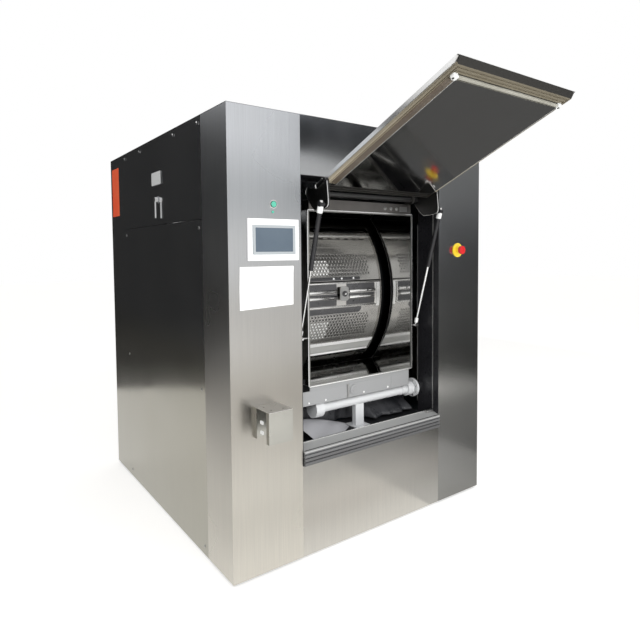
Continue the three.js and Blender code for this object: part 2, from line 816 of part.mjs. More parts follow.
function motorPulley() {
  const span = centred(pulleyX, drive.pulleyWidth);
  return ringX(drive.motorPulley, motor.shaft + fit.running, span, 0, drive.motorZ);
}

function drumPulley() {
  const span = centred(pulleyX, drive.pulleyWidth);
  const rim = ringX(drive.drumPulley, drive.drumPulley - pulley.rim, span, 0, tubZ, roundSides.large);
  const web = centred(pulleyX, pulley.web);
  const disc = rodX(drive.drumPulley - pulley.rim / 2, web, 0, tubZ);
  const hub = rodX(pulley.hub, span, 0, tubZ);
  const bore = [span[0] - fit.overrun, span[1] + fit.overrun];
  return cut(joined(rim, disc, hub), rodX(shaft.radius + fit.seat, bore, 0, tubZ, roundSides.large));
}

// The belt's outline: round both pulleys, straight between their tangent points.
function beltOutline(gap) {
  const small = drive.motorPulley + gap;
  const large = drive.drumPulley + gap;
  const tilt = THREE.MathUtils.radToDeg(beltTilt);
  const arc = (radius, z, from, to) =>
    Array.from({ length: roundSides.belt + 1 }, (_, i) => {
      const at = radians(from + ((to - from) * i) / roundSides.belt);
      return [radius * Math.cos(at), z + radius * Math.sin(at)];
    });
  return [...arc(large, tubZ, -tilt, 180 + tilt), ...arc(small, drive.motorZ, 180 + tilt, 360 - tilt)];
}

function driveBelt() {
  const span = centred(pulleyX, belt.width);
  const clear = [span[0] - fit.overrun, span[1] + fit.overrun];
  const inner = fit.running + beltFacet;
  return cut(
    prismX(beltOutline(inner + belt.thickness), span),
    prismX(beltOutline(inner), clear),
  );
}

// The belt's arc is made of straight steps, so it is drawn this much wider than the pulley.
const beltTilt = Math.asin((drive.drumPulley - drive.motorPulley) / (tubZ - drive.motorZ));
const beltStep = (Math.PI + 2 * beltTilt) / roundSides.belt;
const beltFacet = drive.drumPulley * (1 / Math.cos(beltStep / 2) - 1);

piece("drive_motor", "motorBlue", driveMotor());
piece("motor_pulley", "cast", motorPulley());
piece("drive_belt", "rubber", driveBelt());
piece("drum_pulley", "cast", drumPulley());

// Drum: a cylinder with three lifters inside and a framed doorway in its side
const doorwayRim = { width: 24, height: 9 };
const lifter = { height: 85, base: 110, crest: 30, inset: 20 };
const drumDoorLeft = throatLeft + drumDoor.inset;
const drumDoorRight = throatRight - drumDoor.inset;
const doorwayX = (drumDoorLeft + drumDoorRight) / 2;
const hingeGapAngle = THREE.MathUtils.radToDeg((drumDoor.hingeBar + fit.running) / drumOuter);
const flapHinge = [drumDoor.halfAngle, -drumDoor.halfAngle].map((angle) =>
  drumPoint(drumOuter - drum.wall / 2, angle),
);

function drumBand(outer, inner, from, to, span, steps) {
  return prismX([...drumArc(outer, from, to, steps), ...drumArc(inner, to, from, steps)], span);
}

function drumShell() {
  const inner = drumOuter - drum.wall;
  const ring = ringX(drumOuter, inner, [drumLeft, drumRight], 0, tubZ, roundSides.large);
  const { width, height } = doorwayRim;
  const rimAngle = drumDoor.halfAngle + THREE.MathUtils.radToDeg(width / drumOuter);
  const collar = drumBand(
    drumOuter + height,
    drumOuter - drum.wall / 2,
    -rimAngle,
    rimAngle,
    [drumDoorLeft - width, drumDoorRight + width],
    roundSides.small,
  );
  const doorway = drumBand(
    drumOuter + height + fit.overrun,
    inner - fit.overrun,
    -drumDoor.halfAngle,
    drumDoor.halfAngle,
    [drumDoorLeft, drumDoorRight],
    roundSides.small,
  );
  const rib = [
    [inner + drum.wall / 2, -lifter.base / 2],
    [inner + drum.wall / 2, lifter.base / 2],
    [inner - lifter.height, lifter.crest / 2],
    [inner - lifter.height, -lifter.crest / 2],
  ];
  const ribs = [0, 1, 2].map((i) => {
    const at = radians(i * 90);
    const turned = rib.map(([r, s]) => [
      r * Math.sin(at) + s * Math.cos(at),
      r * Math.cos(at) - s * Math.sin(at),
    ]);
    return prismX(
      turned.map(([y, z]) => [y, tubZ + z]),
      [drumLeft + lifter.inset, drumRight - lifter.inset],
    );
  });
  const troughs = flapHinge.map(([y, z]) =>
    rodX(drumDoor.hingeBar + fit.running, [drumDoorLeft, drumDoorRight], y, z, roundSides.small),
  );
  return cut(joined(ring, collar, ...ribs), doorway, ...troughs);
}

function drumEnd(sideX) {
  const face = (drumRight - drumLeft) / 2 + fit.seat;
  const leftEnd = tubLength / 2 + tub.endPlate + housing.length;
  const far = sideX < 0 ? leftEnd : pulleyX - tubX + drive.pulleyWidth;
  const span = (from, to) => (sideX < 0 ? [tubX - to, tubX - from] : [tubX + from, tubX + to]);
  return joined(
    rodX(drumOuter, span(face, face + drum.endPlate), 0, tubZ, roundSides.large),
    rodX(shaft.radius, span(face + drum.endPlate / 2, far), 0, tubZ, roundSides.large),
  );
}

piece("drum_shell", "polished", drumShell());
piece("drum_end_left", "satin", drumEnd(-1));
piece("drum_end_right", "satin", drumEnd(1));

// Drum doors: an upper and a lower flap that swing inwards, and the latch between them
const flap = { sideGap: 0.6, rail: 12, railWidth: 1.1 };
const latch = { offset: 17, width: 62, height: 84, depth: 10, knob: 17, knobDepth: 12 };
const latchX = doorwayX + latch.offset;
const grip = { inset: 109, radius: 12, depth: 14 };

function drumFlap(hinge, from, to, rails, ...extras) {
  const inner = drumOuter - drum.wall;
  const span = [drumDoorLeft + flap.sideGap, drumDoorRight - flap.sideGap];
  const skin = drumBand(drumOuter, inner, from, to, span, roundSides.slender);
  const bars = rails.map(([low, high]) =>
    drumBand(drumOuter + flap.rail, drumOuter - drum.wall / 2, low, high, span, 1),
  );
  const pin = rodX(drumDoor.hingeBar, span, ...hinge, roundSides.small);
  return joined(skin, pin, ...bars, ...extras);
}

const edge = drumDoor.halfAngle - hingeGapAngle / 2;
const zone = drumDoor.split;
const bar = flap.railWidth;
const upperStart = zone + drumDoor.splitGap;
const upperRails = [[upperStart, upperStart + bar]];
piece("drum_flap_upper", "polished", drumFlap(flapHinge[0], upperStart, edge, upperRails));
const railFace = drumOuter + flap.rail;
const lowerRails = [
  [-zone - bar, -zone],
  [-bar / 2, bar / 2],
  [zone - 2 * bar, zone - bar],
];
const gripKnob = rodY(grip.radius, [-railFace - grip.depth, -drumOuter], drumDoorRight - grip.inset, tubZ);
piece("drum_flap_lower", "polished", drumFlap(flapHinge[1], -edge, zone, lowerRails, gripKnob));

function flapLatch() {
  const face = -(railFace + fit.seat);
  const oval = rodY(latch.width / 2, [face - latch.depth, face], 0, 0);
  oval.scale(1, 1, latch.height / latch.width).translate(latchX, 0, tubZ);
  const knob = rodY(latch.knob, [face - latch.depth - latch.knobDepth, face], latchX, tubZ);
  return joined(oval, knob);
}

piece("flap_latch", "cast", flapLatch());

// Loading doors. Each is built shut, then turned about its hinge.
const panFront = frontY + door.setBack;
const sealBack = rimY - fit.seat;
const panBack = sealBack - door.seal - fit.seat;
const plugBack = rimY + plug.depth;
const panMiddle = (panFront + panBack) / 2;
const weepHole = 5;

// The pan's lower edge slopes away behind its outer sheet and the seal's lip lies along the slope.
const lip = { thick: 6, rise: 22, gap: 0.6 };
const sealInset = { side: 14, top: 6 };
const lipBack = { y: panFront + cabinet.sheet, bottom: doorBottom };
const lipTop = lipBack.bottom + lip.rise;

function panProfile(inset) {
  const low = lipBack.bottom + lip.thick + 2 * inset;
  const slope = (panBack - inset - lipBack.y) / (panBack - lipBack.y);
  const start = inset > 0 ? [] : [[panFront, doorBottom], [lipBack.y, doorBottom]];
  return [
    ...start,
    [lipBack.y, low],
    [panBack - inset, low + lip.rise * slope],
    [panBack - inset, doorTop - inset],
    [panFront + inset, doorTop - inset],
  ];
}

function insetSpans(side, end) {
  return [
    [doorLeft + side, doorRight - side],
    [doorBottom + end, doorTop - end],
  ];
}

function doorPan() {
  const { sheet, fold } = cabinet;
  const shell = prismX(panProfile(0), [doorLeft, doorRight]);
  const hollow = prismX(panProfile(sheet), [doorLeft + sheet, doorRight - sheet]);
  const [wide, tall] = insetSpans(plug.sideInset + fold, plug.endInset + fold);
  return cut(shell, hollow, block(wide, [panBack - 2 * sheet, panBack + fit.overrun], tall));
}

// Spans of the seal's ring, from its outer edge at share 0 to the plug at share 1.
const sealOuter = [
  [doorLeft + sealInset.side, doorRight - sealInset.side],
  [lipTop, doorTop - sealInset.top],
];
const sealInner = insetSpans(plug.sideInset - fit.seat, plug.endInset - fit.seat);
const sealRibs = { depth: 4, count: 3 };

function sealSpans(share) {
  return sealOuter.map((span, i) => span.map((edge, k) => edge + (sealInner[i][k] - edge) * share));
}

function sealBand(from, to, [y0, y1]) {
  const [outWide, outTall] = sealSpans(from);
  const [inWide, inTall] = sealSpans(to);
  const core = [y0 - fit.overrun, y1 + fit.overrun];
  return cut(block(outWide, [y0, y1], outTall), block(inWide, core, inTall));
}

function doorSeal() {
  const front = sealBack - door.seal;
  const lipStart = lipBack.y + fit.seat;
  const reach = (front - lipBack.y) / (panBack - lipBack.y);
  const lipProfile = [
    [lipStart, doorBottom],
    [sealBack, lipTop],
    [sealBack, lipTop + lip.thick],
    [front, lipTop + lip.thick],
    [front, doorBottom + lip.thick + lip.rise * reach - lip.gap],
    [lipStart, doorBottom + lip.thick - lip.gap],
  ];
  const pitch = 1 / (2 * sealRibs.count + 1);
  const grooves = Array.from({ length: sealRibs.count }, (_, i) =>
    sealBand((2 * i + 1) * pitch, (2 * i + 2) * pitch, [sealBack - sealRibs.depth, sealBack + fit.overrun]),
  );
  const ring = cut(sealBand(0, 1, [front, sealBack]), ...grooves);
  return joined(ring, prismX(lipProfile, sealOuter[0]));
}

function doorPlug() {
  const [wide, tall] = insetSpans(plug.sideInset, plug.endInset);
  return tray([wide, [panBack + fit.seat, plugBack], tall], 1, -1);
}

// The strut's upper ball lies behind the shut door's outer face and below its top.
const upperBall = { y: panFront + strut.upperBack, z: doorTop - strut.upperDrop };
const arm = { sheet: 8, inset: 5, tip: 24, boss: 15, toe: 95, foot: 4, footWidth: 12 };

function armPlate(x) {
  const { y, z } = upperBall;
  const { tip, boss, toe } = arm;
  const outline = [
    [hinge.y - tip, hinge.z],
    [hinge.y - tip / 2, hinge.z + tip],
    [hinge.y + tip / 2, hinge.z + tip],
    [y - boss, hinge.z - tip / 2],
    [y + boss, z + boss],
    [y + boss, z - boss],
    [y - boss, z - 2 * boss],
    [panBack + fit.seat, doorTop - toe],
    [panBack + fit.seat, doorTop],
  ];
  return prismX(outline, [x, x + arm.sheet]);
}

function armFoot([x0, x1]) {
  const back = panBack + fit.seat;
  return block([x0, x1], [back, back + arm.foot], [doorTop - arm.toe, doorTop]);
}

function doorYoke() {
  const left = doorLeft + arm.inset;
  const right = doorRight - arm.inset - arm.sheet;
  const ballGap = stud.eyeWidth / 2 + fit.seat;
  const { y, z } = upperBall;
  const pegSpans = [
    [strutLeft + ballGap, left + arm.sheet / 2],
    [right + arm.sheet / 2, strutRight - ballGap],
  ];
  const footSpans = [
    [doorLeft, doorLeft + arm.footWidth],
    [doorRight - arm.footWidth, doorRight],
  ];
  const pegs = pegSpans.map((span) => rodX(stud.eye / 2, span, y, z, roundSides.small));
  const feet = footSpans.map(armFoot);
  const tube = rodX(torsion.radius, [left, right + arm.sheet], hinge.y, hinge.z);
  return joined(tube, armPlate(left), armPlate(right), ...feet, ...pegs);
}

function turned(geometry, degrees) {
  return geometry
    .clone()
    .translate(0, -hinge.y, -hinge.z)
    .rotateX(radians(degrees))
    .translate(0, hinge.y, hinge.z);
}

const opened = (geometry) => turned(geometry, -doorHinge.openAngle);

piece("door_pan", "brushed", opened(doorPan()));
piece("door_seal", "olive", opened(doorSeal()));
piece("door_plug", "polished", opened(doorPlug()));
piece("door_yoke", "satin", opened(doorYoke()));

// The clean side's door is shut. Its plug and seal are one pressed piece with the pan.
function rearDoor() {
  const { sheet, fold } = cabinet;
  const [wide, tall] = insetSpans(plug.sideInset + fold / 2, plug.endInset + fold / 2);
  const plugTray = tray([wide, [panBack - sheet, plugBack], tall], 1, -1);
  const seal = sealBand(0, 1, [panBack - sheet / 2, sealBack]);
  const weep = rodZ(weepHole, [doorBottom - fit.overrun, doorBottom + 4 * lip.rise], tubX, panMiddle);
  return cut(joined(doorPan(), plugTray, seal), weep);
}

piece("rear_door_pan", "brushed", mirroredY(rearDoor()));
piece("rear_door_yoke", "satin", mirroredY(doorYoke()));

// Gas struts beside the loading door
const gas = { tube: 12, rod: 6, socket: 8, socketLength: 34 };
const tubeStartShare = 0.527;
const rodEndShare = 0.835;
const boreEndShare = 0.927;
const fullLift = radians(doorHinge.openAngle);
const lift = {
  y: upperBall.y - hinge.y,
  z: upperBall.z - hinge.z,
};
const ballOpen = {
  y: hinge.y + lift.y * Math.cos(fullLift) + lift.z * Math.sin(fullLift),
  z: hinge.z - lift.y * Math.sin(fullLift) + lift.z * Math.cos(fullLift),
};
const lean = { y: ballOpen.y - strutFoot.y, z: ballOpen.z - strutFoot.z };
const strutLength = Math.hypot(lean.y, lean.z);
const tubeStart = tubeStartShare * strutLength;
const rodEnd = rodEndShare * strutLength;
const boreEnd = boreEndShare * strutLength;
const strutTilt = Math.atan2(-lean.y, lean.z);

// Strut pieces are drawn upright from the lower stud, then leaned to the open door.
function leaned(geometry, x) {
  return geometry.rotateX(strutTilt).translate(x, strutFoot.y, strutFoot.z);
}

function strutRod(x) {
  const eyeSpan = centred(0, stud.eyeWidth);
  const body = joined(
    rodX(stud.eye, eyeSpan, 0, 0, roundSides.small),
    rodZ(gas.rod, [stud.eye / 2, rodEnd], 0, 0, roundSides.slender),
  );
  const bore = [eyeSpan[0] - fit.overrun, eyeSpan[1] + fit.overrun];
  return leaned(cut(body, rodX(stud.radius + fit.running, bore, 0, 0, roundSides.small)), x);
}

function strutTube(x) {
  const socketStart = strutLength - gas.socketLength;
  const body = joined(
    rodZ(gas.tube, [tubeStart, socketStart], 0, 0),
    rodZ(gas.socket, [socketStart - fit.overrun, strutLength], 0, 0),
    rodX(stud.eye, centred(0, stud.eyeWidth), 0, strutLength, roundSides.small),
  );
  const bore = rodZ(gas.rod + fit.running, [tubeStart - fit.overrun, boreEnd], 0, 0, roundSides.slender);
  return leaned(cut(body, bore), x);
}

for (const [side, x] of [
  ["left", strutLeft],
  ["right", strutRight],
]) {
  piece(`strut_rod_${side}`, "polished", strutRod(x));
  piece(`strut_tube_${side}`, "black", strutTube(x));
}

export default washer;
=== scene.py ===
"""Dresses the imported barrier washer: metres, +Z up, the loading side faces -Y."""
import math

import bmesh
import bpy
from mathutils import Matrix, Vector


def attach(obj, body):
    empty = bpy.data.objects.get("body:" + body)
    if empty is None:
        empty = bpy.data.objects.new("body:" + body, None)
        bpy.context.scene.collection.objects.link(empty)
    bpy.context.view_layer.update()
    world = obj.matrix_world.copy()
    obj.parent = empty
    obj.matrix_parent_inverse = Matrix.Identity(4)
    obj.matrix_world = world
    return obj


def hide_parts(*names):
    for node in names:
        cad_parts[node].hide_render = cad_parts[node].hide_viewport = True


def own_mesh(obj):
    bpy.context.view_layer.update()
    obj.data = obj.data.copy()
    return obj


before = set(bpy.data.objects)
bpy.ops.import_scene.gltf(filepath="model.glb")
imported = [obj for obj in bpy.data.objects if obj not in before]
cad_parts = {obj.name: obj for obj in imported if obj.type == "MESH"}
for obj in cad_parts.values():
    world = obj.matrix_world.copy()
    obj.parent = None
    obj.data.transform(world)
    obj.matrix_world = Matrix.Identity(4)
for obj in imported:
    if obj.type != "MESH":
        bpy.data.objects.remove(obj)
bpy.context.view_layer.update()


def linked(name, data):
    made = bpy.data.objects.new(name, data)
    bpy.context.scene.collection.objects.link(made)
    return made


# Camera: place, turn and lens fitted to the edges of the front and the left side
EYE = Vector((-1.92965, -3.06925, 1.53494))
YAW, PITCH, ROLL = math.radians(36.033), math.radians(-2.9205), math.radians(-0.464)
LENS_MM, SENSOR_MM, SHIFT_UP, VIEW_DEPTH = 29.834, 36, -0.0632, 60
forward0 = Vector((math.sin(YAW), math.cos(YAW), 0))
right0 = Vector((math.cos(YAW), -math.sin(YAW), 0))
up0 = Vector((0, 0, 1))
forward = forward0 * math.cos(PITCH) + up0 * math.sin(PITCH)
up1 = up0 * math.cos(PITCH) - forward0 * math.sin(PITCH)
right = right0 * math.cos(ROLL) + up1 * math.sin(ROLL)
up = up1 * math.cos(ROLL) - right0 * math.sin(ROLL)
camera_data = bpy.data.cameras.new("photo_camera")
camera_data.sensor_width = SENSOR_MM
camera_data.lens = LENS_MM
camera_data.shift_y = SHIFT_UP
camera_data.clip_end = VIEW_DEPTH
camera = linked("photo_camera", camera_data)
place = Matrix((right, up, -forward)).transposed().to_4x4()
place.translation = EYE
camera.matrix_world = place
bpy.context.scene.camera = camera
bpy.context.scene.view_settings.view_transform = "Standard"


# Materials
def grey(value):
    return (value, value, value)


def shader_of(material):
    return material.node_tree.nodes["Principled BSDF"]


def new_material(name):
    material = bpy.data.materials.new(name)
    material.use_nodes = True
    return material, material.node_tree, shader_of(material)


def feed(made, inputs):
    """Sets inputs of a node to values, or links them to the sockets given."""
    for key, value in inputs.items():
        socket = made.inputs[key]
        if isinstance(value, bpy.types.NodeSocket):
            socket.id_data.links.new(value, socket)
        else:
            socket.default_value = value


def node(tree, kind, inputs=None, **settings):
    made = tree.nodes.new(kind)
    for key, value in settings.items():
        setattr(made, key, value)
    feed(made, inputs or {})
    return made


def position(tree):
    return node(tree, "ShaderNodeTexCoord").outputs["Object"]


def noise(tree, scale, detail=3.0, rough=0.55, stretch=(1, 1, 1)):
    spread = node(tree, "ShaderNodeMapping", {"Vector": position(tree), "Scale": stretch})
    return node(tree, "ShaderNodeTexNoise", {
        "Vector": spread.outputs["Vector"], "Scale": scale, "Detail": detail, "Roughness": rough,
    }).outputs["Fac"]


def ranged(tree, source, low, high, start=0.3, end=0.7):
    """Turns start to end of a source into low to high."""
    return node(tree, "ShaderNodeMapRange", {
        "Value": source, "From Min": start, "From Max": end, "To Min": low, "To Max": high,
    }).outputs["Result"]


def mixed(tree, factor, a, b):
    made = node(tree, "ShaderNodeMix", {"Factor": factor}, data_type="RGBA")
    for name, value in (("A", a), ("B", b)):
        socket = [s for s in made.inputs if s.name == name and s.type == "RGBA"][0]
        if isinstance(value, tuple):
            socket.default_value = (*value, 1)
        else:
            tree.links.new(value, socket)
    return [s for s in made.outputs if s.type == "RGBA"][0]


def bump(tree, shader, *layers):
    """Bumps on bumps: layers are (height, strength, distance)."""
    normal = None
    for height, strength, distance in layers:
        inputs = {"Strength": strength, "Distance": distance, "Height": height}
        if normal is not None:
            inputs["Normal"] = normal
        normal = node(tree, "ShaderNodeBump", inputs).outputs["Normal"]
    feed(shader, {"Normal": normal})


def axis_of(tree, axis):
    return node(tree, "ShaderNodeSeparateXYZ", {"Vector": position(tree)}).outputs[axis]


def along(tree, direction, offset):
    """How far a point lies along a direction, from a plane at offset."""
    dot = node(tree, "ShaderNodeVectorMath", {0: position(tree), 1: direction},
               operation="DOT_PRODUCT").outputs["Value"]
    return node(tree, "ShaderNodeMath", {0: dot, 1: offset}, operation="SUBTRACT").outputs[0]


def masked(material, line, low, high, tone, rough, metallic=None):
    """Turns a material into another finish where a line passes from low to high.

    The line is an axis by its letter, or a pair of direction and offset.
    """
    tree, shader = material.node_tree, shader_of(material)
    source = axis_of(tree, line) if isinstance(line, str) else along(tree, *line)
    mask = ranged(tree, source, 0.0, 1.0, low, high)
    was = shader.inputs["Base Color"].links[0].from_socket
    feed(shader, {"Base Color": mixed(tree, mask, was, tone)})
    for key, value in (("Roughness", rough), ("Metallic", metallic)):
        if value is None:
            continue
        socket = shader.inputs[key]
        was = socket.links[0].from_socket if socket.links else socket.default_value
        made = node(tree, "ShaderNodeMix", {"Factor": mask, "A": was, "B": value})
        feed(shader, {key: made.outputs["Result"]})


def banded(tree, source, span, stops):
    """A ramp over span of a coordinate: stops are (place, tone or grey)."""
    ramp = node(tree, "ShaderNodeValToRGB", {"Fac": ranged(tree, source, 0.0, 1.0, *span)})
    ramp.color_ramp.interpolation = "EASE"
    while len(ramp.color_ramp.elements) < len(stops):
        ramp.color_ramp.elements.new(0.5)
    for element, (place, tone) in zip(ramp.color_ramp.elements, stops):
        element.position = (place - span[0]) / (span[1] - span[0])
        element.color = (*(tone if isinstance(tone, tuple) else grey(tone)), 1)
    return ramp.outputs["Color"]


GRAIN = (260, 260, 3)


def brushed(name, bands, rough, tilt=0.0):
    """Brushed sheet: upright grain, a slow waviness, smudges, and tones by height that are painted
    reflection.
    """
    material, tree, shader = new_material(name)
    streaks = noise(tree, 1.0, 2.0, 0.6, GRAIN)
    clouds = noise(tree, 1.6)
    tone = banded(tree, axis_of(tree, "Z"), (0.0, 2.2), bands)
    tone = mixed(tree, ranged(tree, streaks, 0.0, 0.14), tone, (0.25, 0.25, 0.26))
    tone = mixed(tree, ranged(tree, clouds, 0.0, 0.08), tone, (0.9, 0.88, 0.84))
    tangent = node(tree, "ShaderNodeTangent", direction_type="RADIAL", axis="Z")
    feed(shader, {
        "Metallic": 1, "Base Color": tone, "Anisotropic": 0.5, "Anisotropic Rotation": 0.25,
        "Roughness": ranged(tree, clouds, rough - 0.03, rough + 0.05),
        "Tangent": tangent.outputs["Tangent"]})
    bump(tree, shader, (noise(tree, 1.3, 1.0, 0.4), 0.25, 0.02), (streaks, 0.05, 0.0004))
    if tilt:
        straight = shader.inputs["Normal"].links[0].from_socket
        lean = node(tree, "ShaderNodeVectorMath", {0: straight, 1: (tilt, 0, 0)}, operation="ADD")
        unit = node(tree, "ShaderNodeVectorMath", {0: lean.outputs["Vector"]},
                    operation="NORMALIZE")
        feed(shader, {"Normal": unit.outputs["Vector"]})
    return material


def metal(name, tone, rough, smudge=0.06, dark=grey(0.2), texture=90.0, depth=0.03):
    """Plain metal with smudges of a darker tone."""
    material, tree, shader = new_material(name)
    clouds = noise(tree, 7.0, 4.0)
    feed(shader, {
        "Metallic": 1, "Roughness": ranged(tree, clouds, rough, rough + smudge),
        "Base Color": mixed(tree, ranged(tree, clouds, 0.0, 0.22), tone, dark)})
    bump(tree, shader, (noise(tree, texture), depth, 0.001))
    return material


def solid(name, tone, rough, dust=(0.5, 0.48, 0.45), amount=0.12, texture=60.0, depth=0.12,
          coat=0.0):
    """Paint, rubber or plastic with a film of dust."""
    material, tree, shader = new_material(name)
    clouds = noise(tree, 5.0, 5.0)
    fine = noise(tree, texture)
    feed(shader, {
        "Base Color": mixed(tree, ranged(tree, clouds, 0.0, amount, 0.4, 0.8), tone, dust),
        "Roughness": ranged(tree, fine, rough - 0.05, rough + 0.08), "Coat Weight": coat})
    bump(tree, shader, (fine, depth, 0.0006))
    return material


# Tones are linear; those of brushed sheet are pairs of height and tone: painted reflection by
# height
STEEL_SIDE = brushed("steel_side", [
    (0.0, (0.5, 0.485, 0.42)), (0.55, (0.46, 0.44, 0.37)), (0.95, (0.42, 0.4, 0.33)),
    (1.25, (0.46, 0.47, 0.48)), (2.1, (0.44, 0.45, 0.47))], rough=0.13)
STEEL_FRONT = brushed("steel_front", [
    (0.0, (0.74, 0.71, 0.64)), (0.35, (0.58, 0.555, 0.495)), (0.85, (0.34, 0.32, 0.285)),
    (1.2, (0.5, 0.49, 0.47)), (1.55, (0.55, 0.56, 0.57)), (1.8, (0.44, 0.46, 0.48)),
    (2.1, (0.62, 0.64, 0.67))], rough=0.28)
STEEL_HEAD = brushed("steel_head", [
    (0.0, 0.5), (1.7, 0.5), (1.95, (0.44, 0.45, 0.46)), (2.15, (0.31, 0.33, 0.36))],
    rough=0.15, tilt=0.06)
STEEL_DARK = brushed("steel_dark", [
    (0.0, (0.42, 0.415, 0.39)), (0.45, (0.56, 0.555, 0.53)), (0.8, (0.5, 0.5, 0.48)),
    (1.1, (0.72, 0.73, 0.72)), (1.6, (0.66, 0.68, 0.71)), (2.1, (0.85, 0.88, 0.9))], rough=0.15)
STEEL_PANEL = brushed("steel_panel", [
    (0.0, (0.7, 0.68, 0.63)), (0.25, (0.53, 0.505, 0.46)), (0.5, (0.35, 0.34, 0.315)),
    (2.2, 0.5)], rough=0.17)
STEEL_SATIN = metal("steel_satin", (0.5, 0.5, 0.49), 0.3, 0.12)
STEEL_BEAM = metal("steel_beam", (0.22, 0.21, 0.2), 0.3, 0.15, (0.1, 0.09, 0.08))
# Painted reflection: the yoke's steel near black, as its polished arm plates look
STEEL_YOKE = metal("steel_yoke", grey(0.1), 0.32, 0.15, grey(0.03))
MIRROR = metal("mirror_steel", (0.7, 0.7, 0.69), 0.04, 0.06, grey(0.45), 14.0, 0.02)
THROAT = metal("throat_steel", (0.62, 0.62, 0.61), 0.05, 0.07, grey(0.35), 14.0, 0.02)
PLUG = metal("plug_steel", (0.42, 0.415, 0.4), 0.05, 0.1, (0.3, 0.29, 0.27), 9.0, 0.03)
DRUM_STEEL = metal("drum_steel", (0.56, 0.55, 0.53), 0.17, 0.12, (0.24, 0.23, 0.22), 40.0, 0.04)
DRUM_BODY = metal("drum_body_steel", (0.5, 0.49, 0.47), 0.2, 0.12, (0.24, 0.23, 0.22), 40.0, 0.04)
DRUM_DARK = metal("drum_dark", (0.14, 0.14, 0.145), 0.22, 0.1, grey(0.02), 50.0, 0.04)
BRIGHT = metal("bright_steel", (0.92, 0.92, 0.91), 0.16, 0.08, grey(0.75))
BOX_STEEL = metal("box_steel", (0.44, 0.435, 0.4), 0.26, 0.1, (0.34, 0.33, 0.31))
# Painted reflection: pale and grey non-metal tones for steel strips on the drum
PALE_PAINTED_REFLECTION = solid("pale_painted_reflection", (0.86, 0.86, 0.85), 0.3, (0.6, 0.6, 0.59), 0.3, 60.0, 0.1)
GREY_PAINTED_REFLECTION = solid("grey_painted_reflection", (0.52, 0.52, 0.5), 0.35, (0.75, 0.75, 0.74), 0.4, 60.0, 0.1)
SILL = metal("sill_steel", (0.46, 0.465, 0.46), 0.36, 0.1, grey(0.36), 120.0, 0.06)
CAST = solid("pale_cast", (0.6, 0.61, 0.62), 0.36, (0.82, 0.83, 0.83), 0.35, 130.0, 0.35)
BLACK = solid("black_paint", (0.012, 0.012, 0.014), 0.3, (0.1, 0.1, 0.11), 0.1)
RUBBER = solid("black_rubber", (0.016, 0.016, 0.017), 0.5, (0.22, 0.22, 0.23), 0.25, 35.0, 0.3)
SKIRT = solid("skirt_rubber", (0.022, 0.023, 0.026), 0.3, (0.2, 0.2, 0.21), 0.35, 26.0, 0.25,
              coat=0.35)
# Painted sheen: grey for a fold of black rubber
FOLD_PAINTED_SHEEN = solid("fold_rubber_painted_sheen", (0.42, 0.42, 0.44), 0.42, (0.4, 0.4, 0.41), 0.35, 26.0, 0.25)
SEAL = solid("seal_rubber", (0.3, 0.265, 0.195), 0.5, (0.48, 0.44, 0.36), 0.5, 50.0, 0.3)
SEAL_BROWN = solid("seal_channel", (0.085, 0.06, 0.04), 0.45, (0.3, 0.26, 0.2), 0.3)
SEAL_BLACK = solid("seal_lip", (0.018, 0.017, 0.015), 0.42, (0.1, 0.1, 0.09), 0.3, 45.0, 0.3)
SEAL_PALE = solid("seal_step", (0.34, 0.33, 0.28), 0.4, (0.62, 0.61, 0.56), 0.6, 30.0, 0.3)
FRAME_PAINT = solid("frame_paint", (0.16, 0.17, 0.18), 0.5, (0.3, 0.29, 0.27), 0.3)
MOTOR_PAINT = solid("motor_paint", (0.06, 0.11, 0.16), 0.4, grey(0.2), 0.2)
WHITE = solid("white_plastic", (0.92, 0.92, 0.93), 0.35, grey(0.72), 0.08, 200.0, 0.08)
GREY = solid("grey_plastic", (0.38, 0.41, 0.43), 0.4, grey(0.5), 0.15, 200.0, 0.08)
SCREEN = solid("screen", (0.07, 0.1, 0.135), 0.14, (0.12, 0.16, 0.2), 0.5, 30.0, 0.01, 0.5)
PAPER = solid("paper", (0.9, 0.9, 0.895), 0.6, (0.88, 0.88, 0.87), 0.25, 25.0, 0.25)
GREEN = solid("green_plastic", (0.03, 0.42, 0.28), 0.22, (0.3, 0.62, 0.5), 0.4, 90.0, 0.05, 0.5)
RED = solid("red_plastic", (0.6, 0.012, 0.014), 0.3, (0.75, 0.12, 0.1), 0.2, 90.0, 0.06, 0.4)
YELLOW = solid("yellow_plastic", (0.9, 0.66, 0.04), 0.4, (0.6, 0.4, 0.05), 0.2, 90.0, 0.06)
ORANGE = solid("orange_strip", (0.8, 0.085, 0.02), 0.45, (0.85, 0.25, 0.1), 0.4, 30.0, 0.1)
SOCKET = solid("white_socket", (0.88, 0.89, 0.88), 0.3, (0.6, 0.6, 0.59), 0.2)
PLATE = solid("blank_plate", (0.55, 0.56, 0.56), 0.35, grey(0.7), 0.3)

# Colours that change over one node, painted shade and painted highlight among them where marked.
# The lifted door hangs from HINGE along DOOR_DOWN.
DOOR_DOWN = (0, -0.9205, 0.3907)
HINGE = Vector((0, -0.843, 1.841))
from_hinge = (DOOR_DOWN, DOOR_DOWN[1] * HINGE.y + DOOR_DOWN[2] * HINGE.z)
# Painted shade for the top of the drum, painted dark reflection for the drum shell beyond the doors
DRUM_SHADE, RING_PAINTED_DARK = (0.02, 0.02, 0.018), (0.01, 0.01, 0.011)

# The seal paler near the hinge and darker towards its free end
tree, shader = SEAL.node_tree, shader_of(SEAL)
hinge_to_end_tone = banded(tree, along(tree, *from_hinge), (0.0, 1.05), [
    (0.0, (0.66, 0.58, 0.44)), (0.5, (0.34, 0.3, 0.22)), (1.05, (0.15, 0.13, 0.09))])
rubber_tone = shader.inputs["Base Color"].links[0].from_socket
feed(shader, {"Base Color": mixed(tree, 0.8, rubber_tone, hinge_to_end_tone)})
feed(shader_of(SILL), {"Metallic": 0.35})
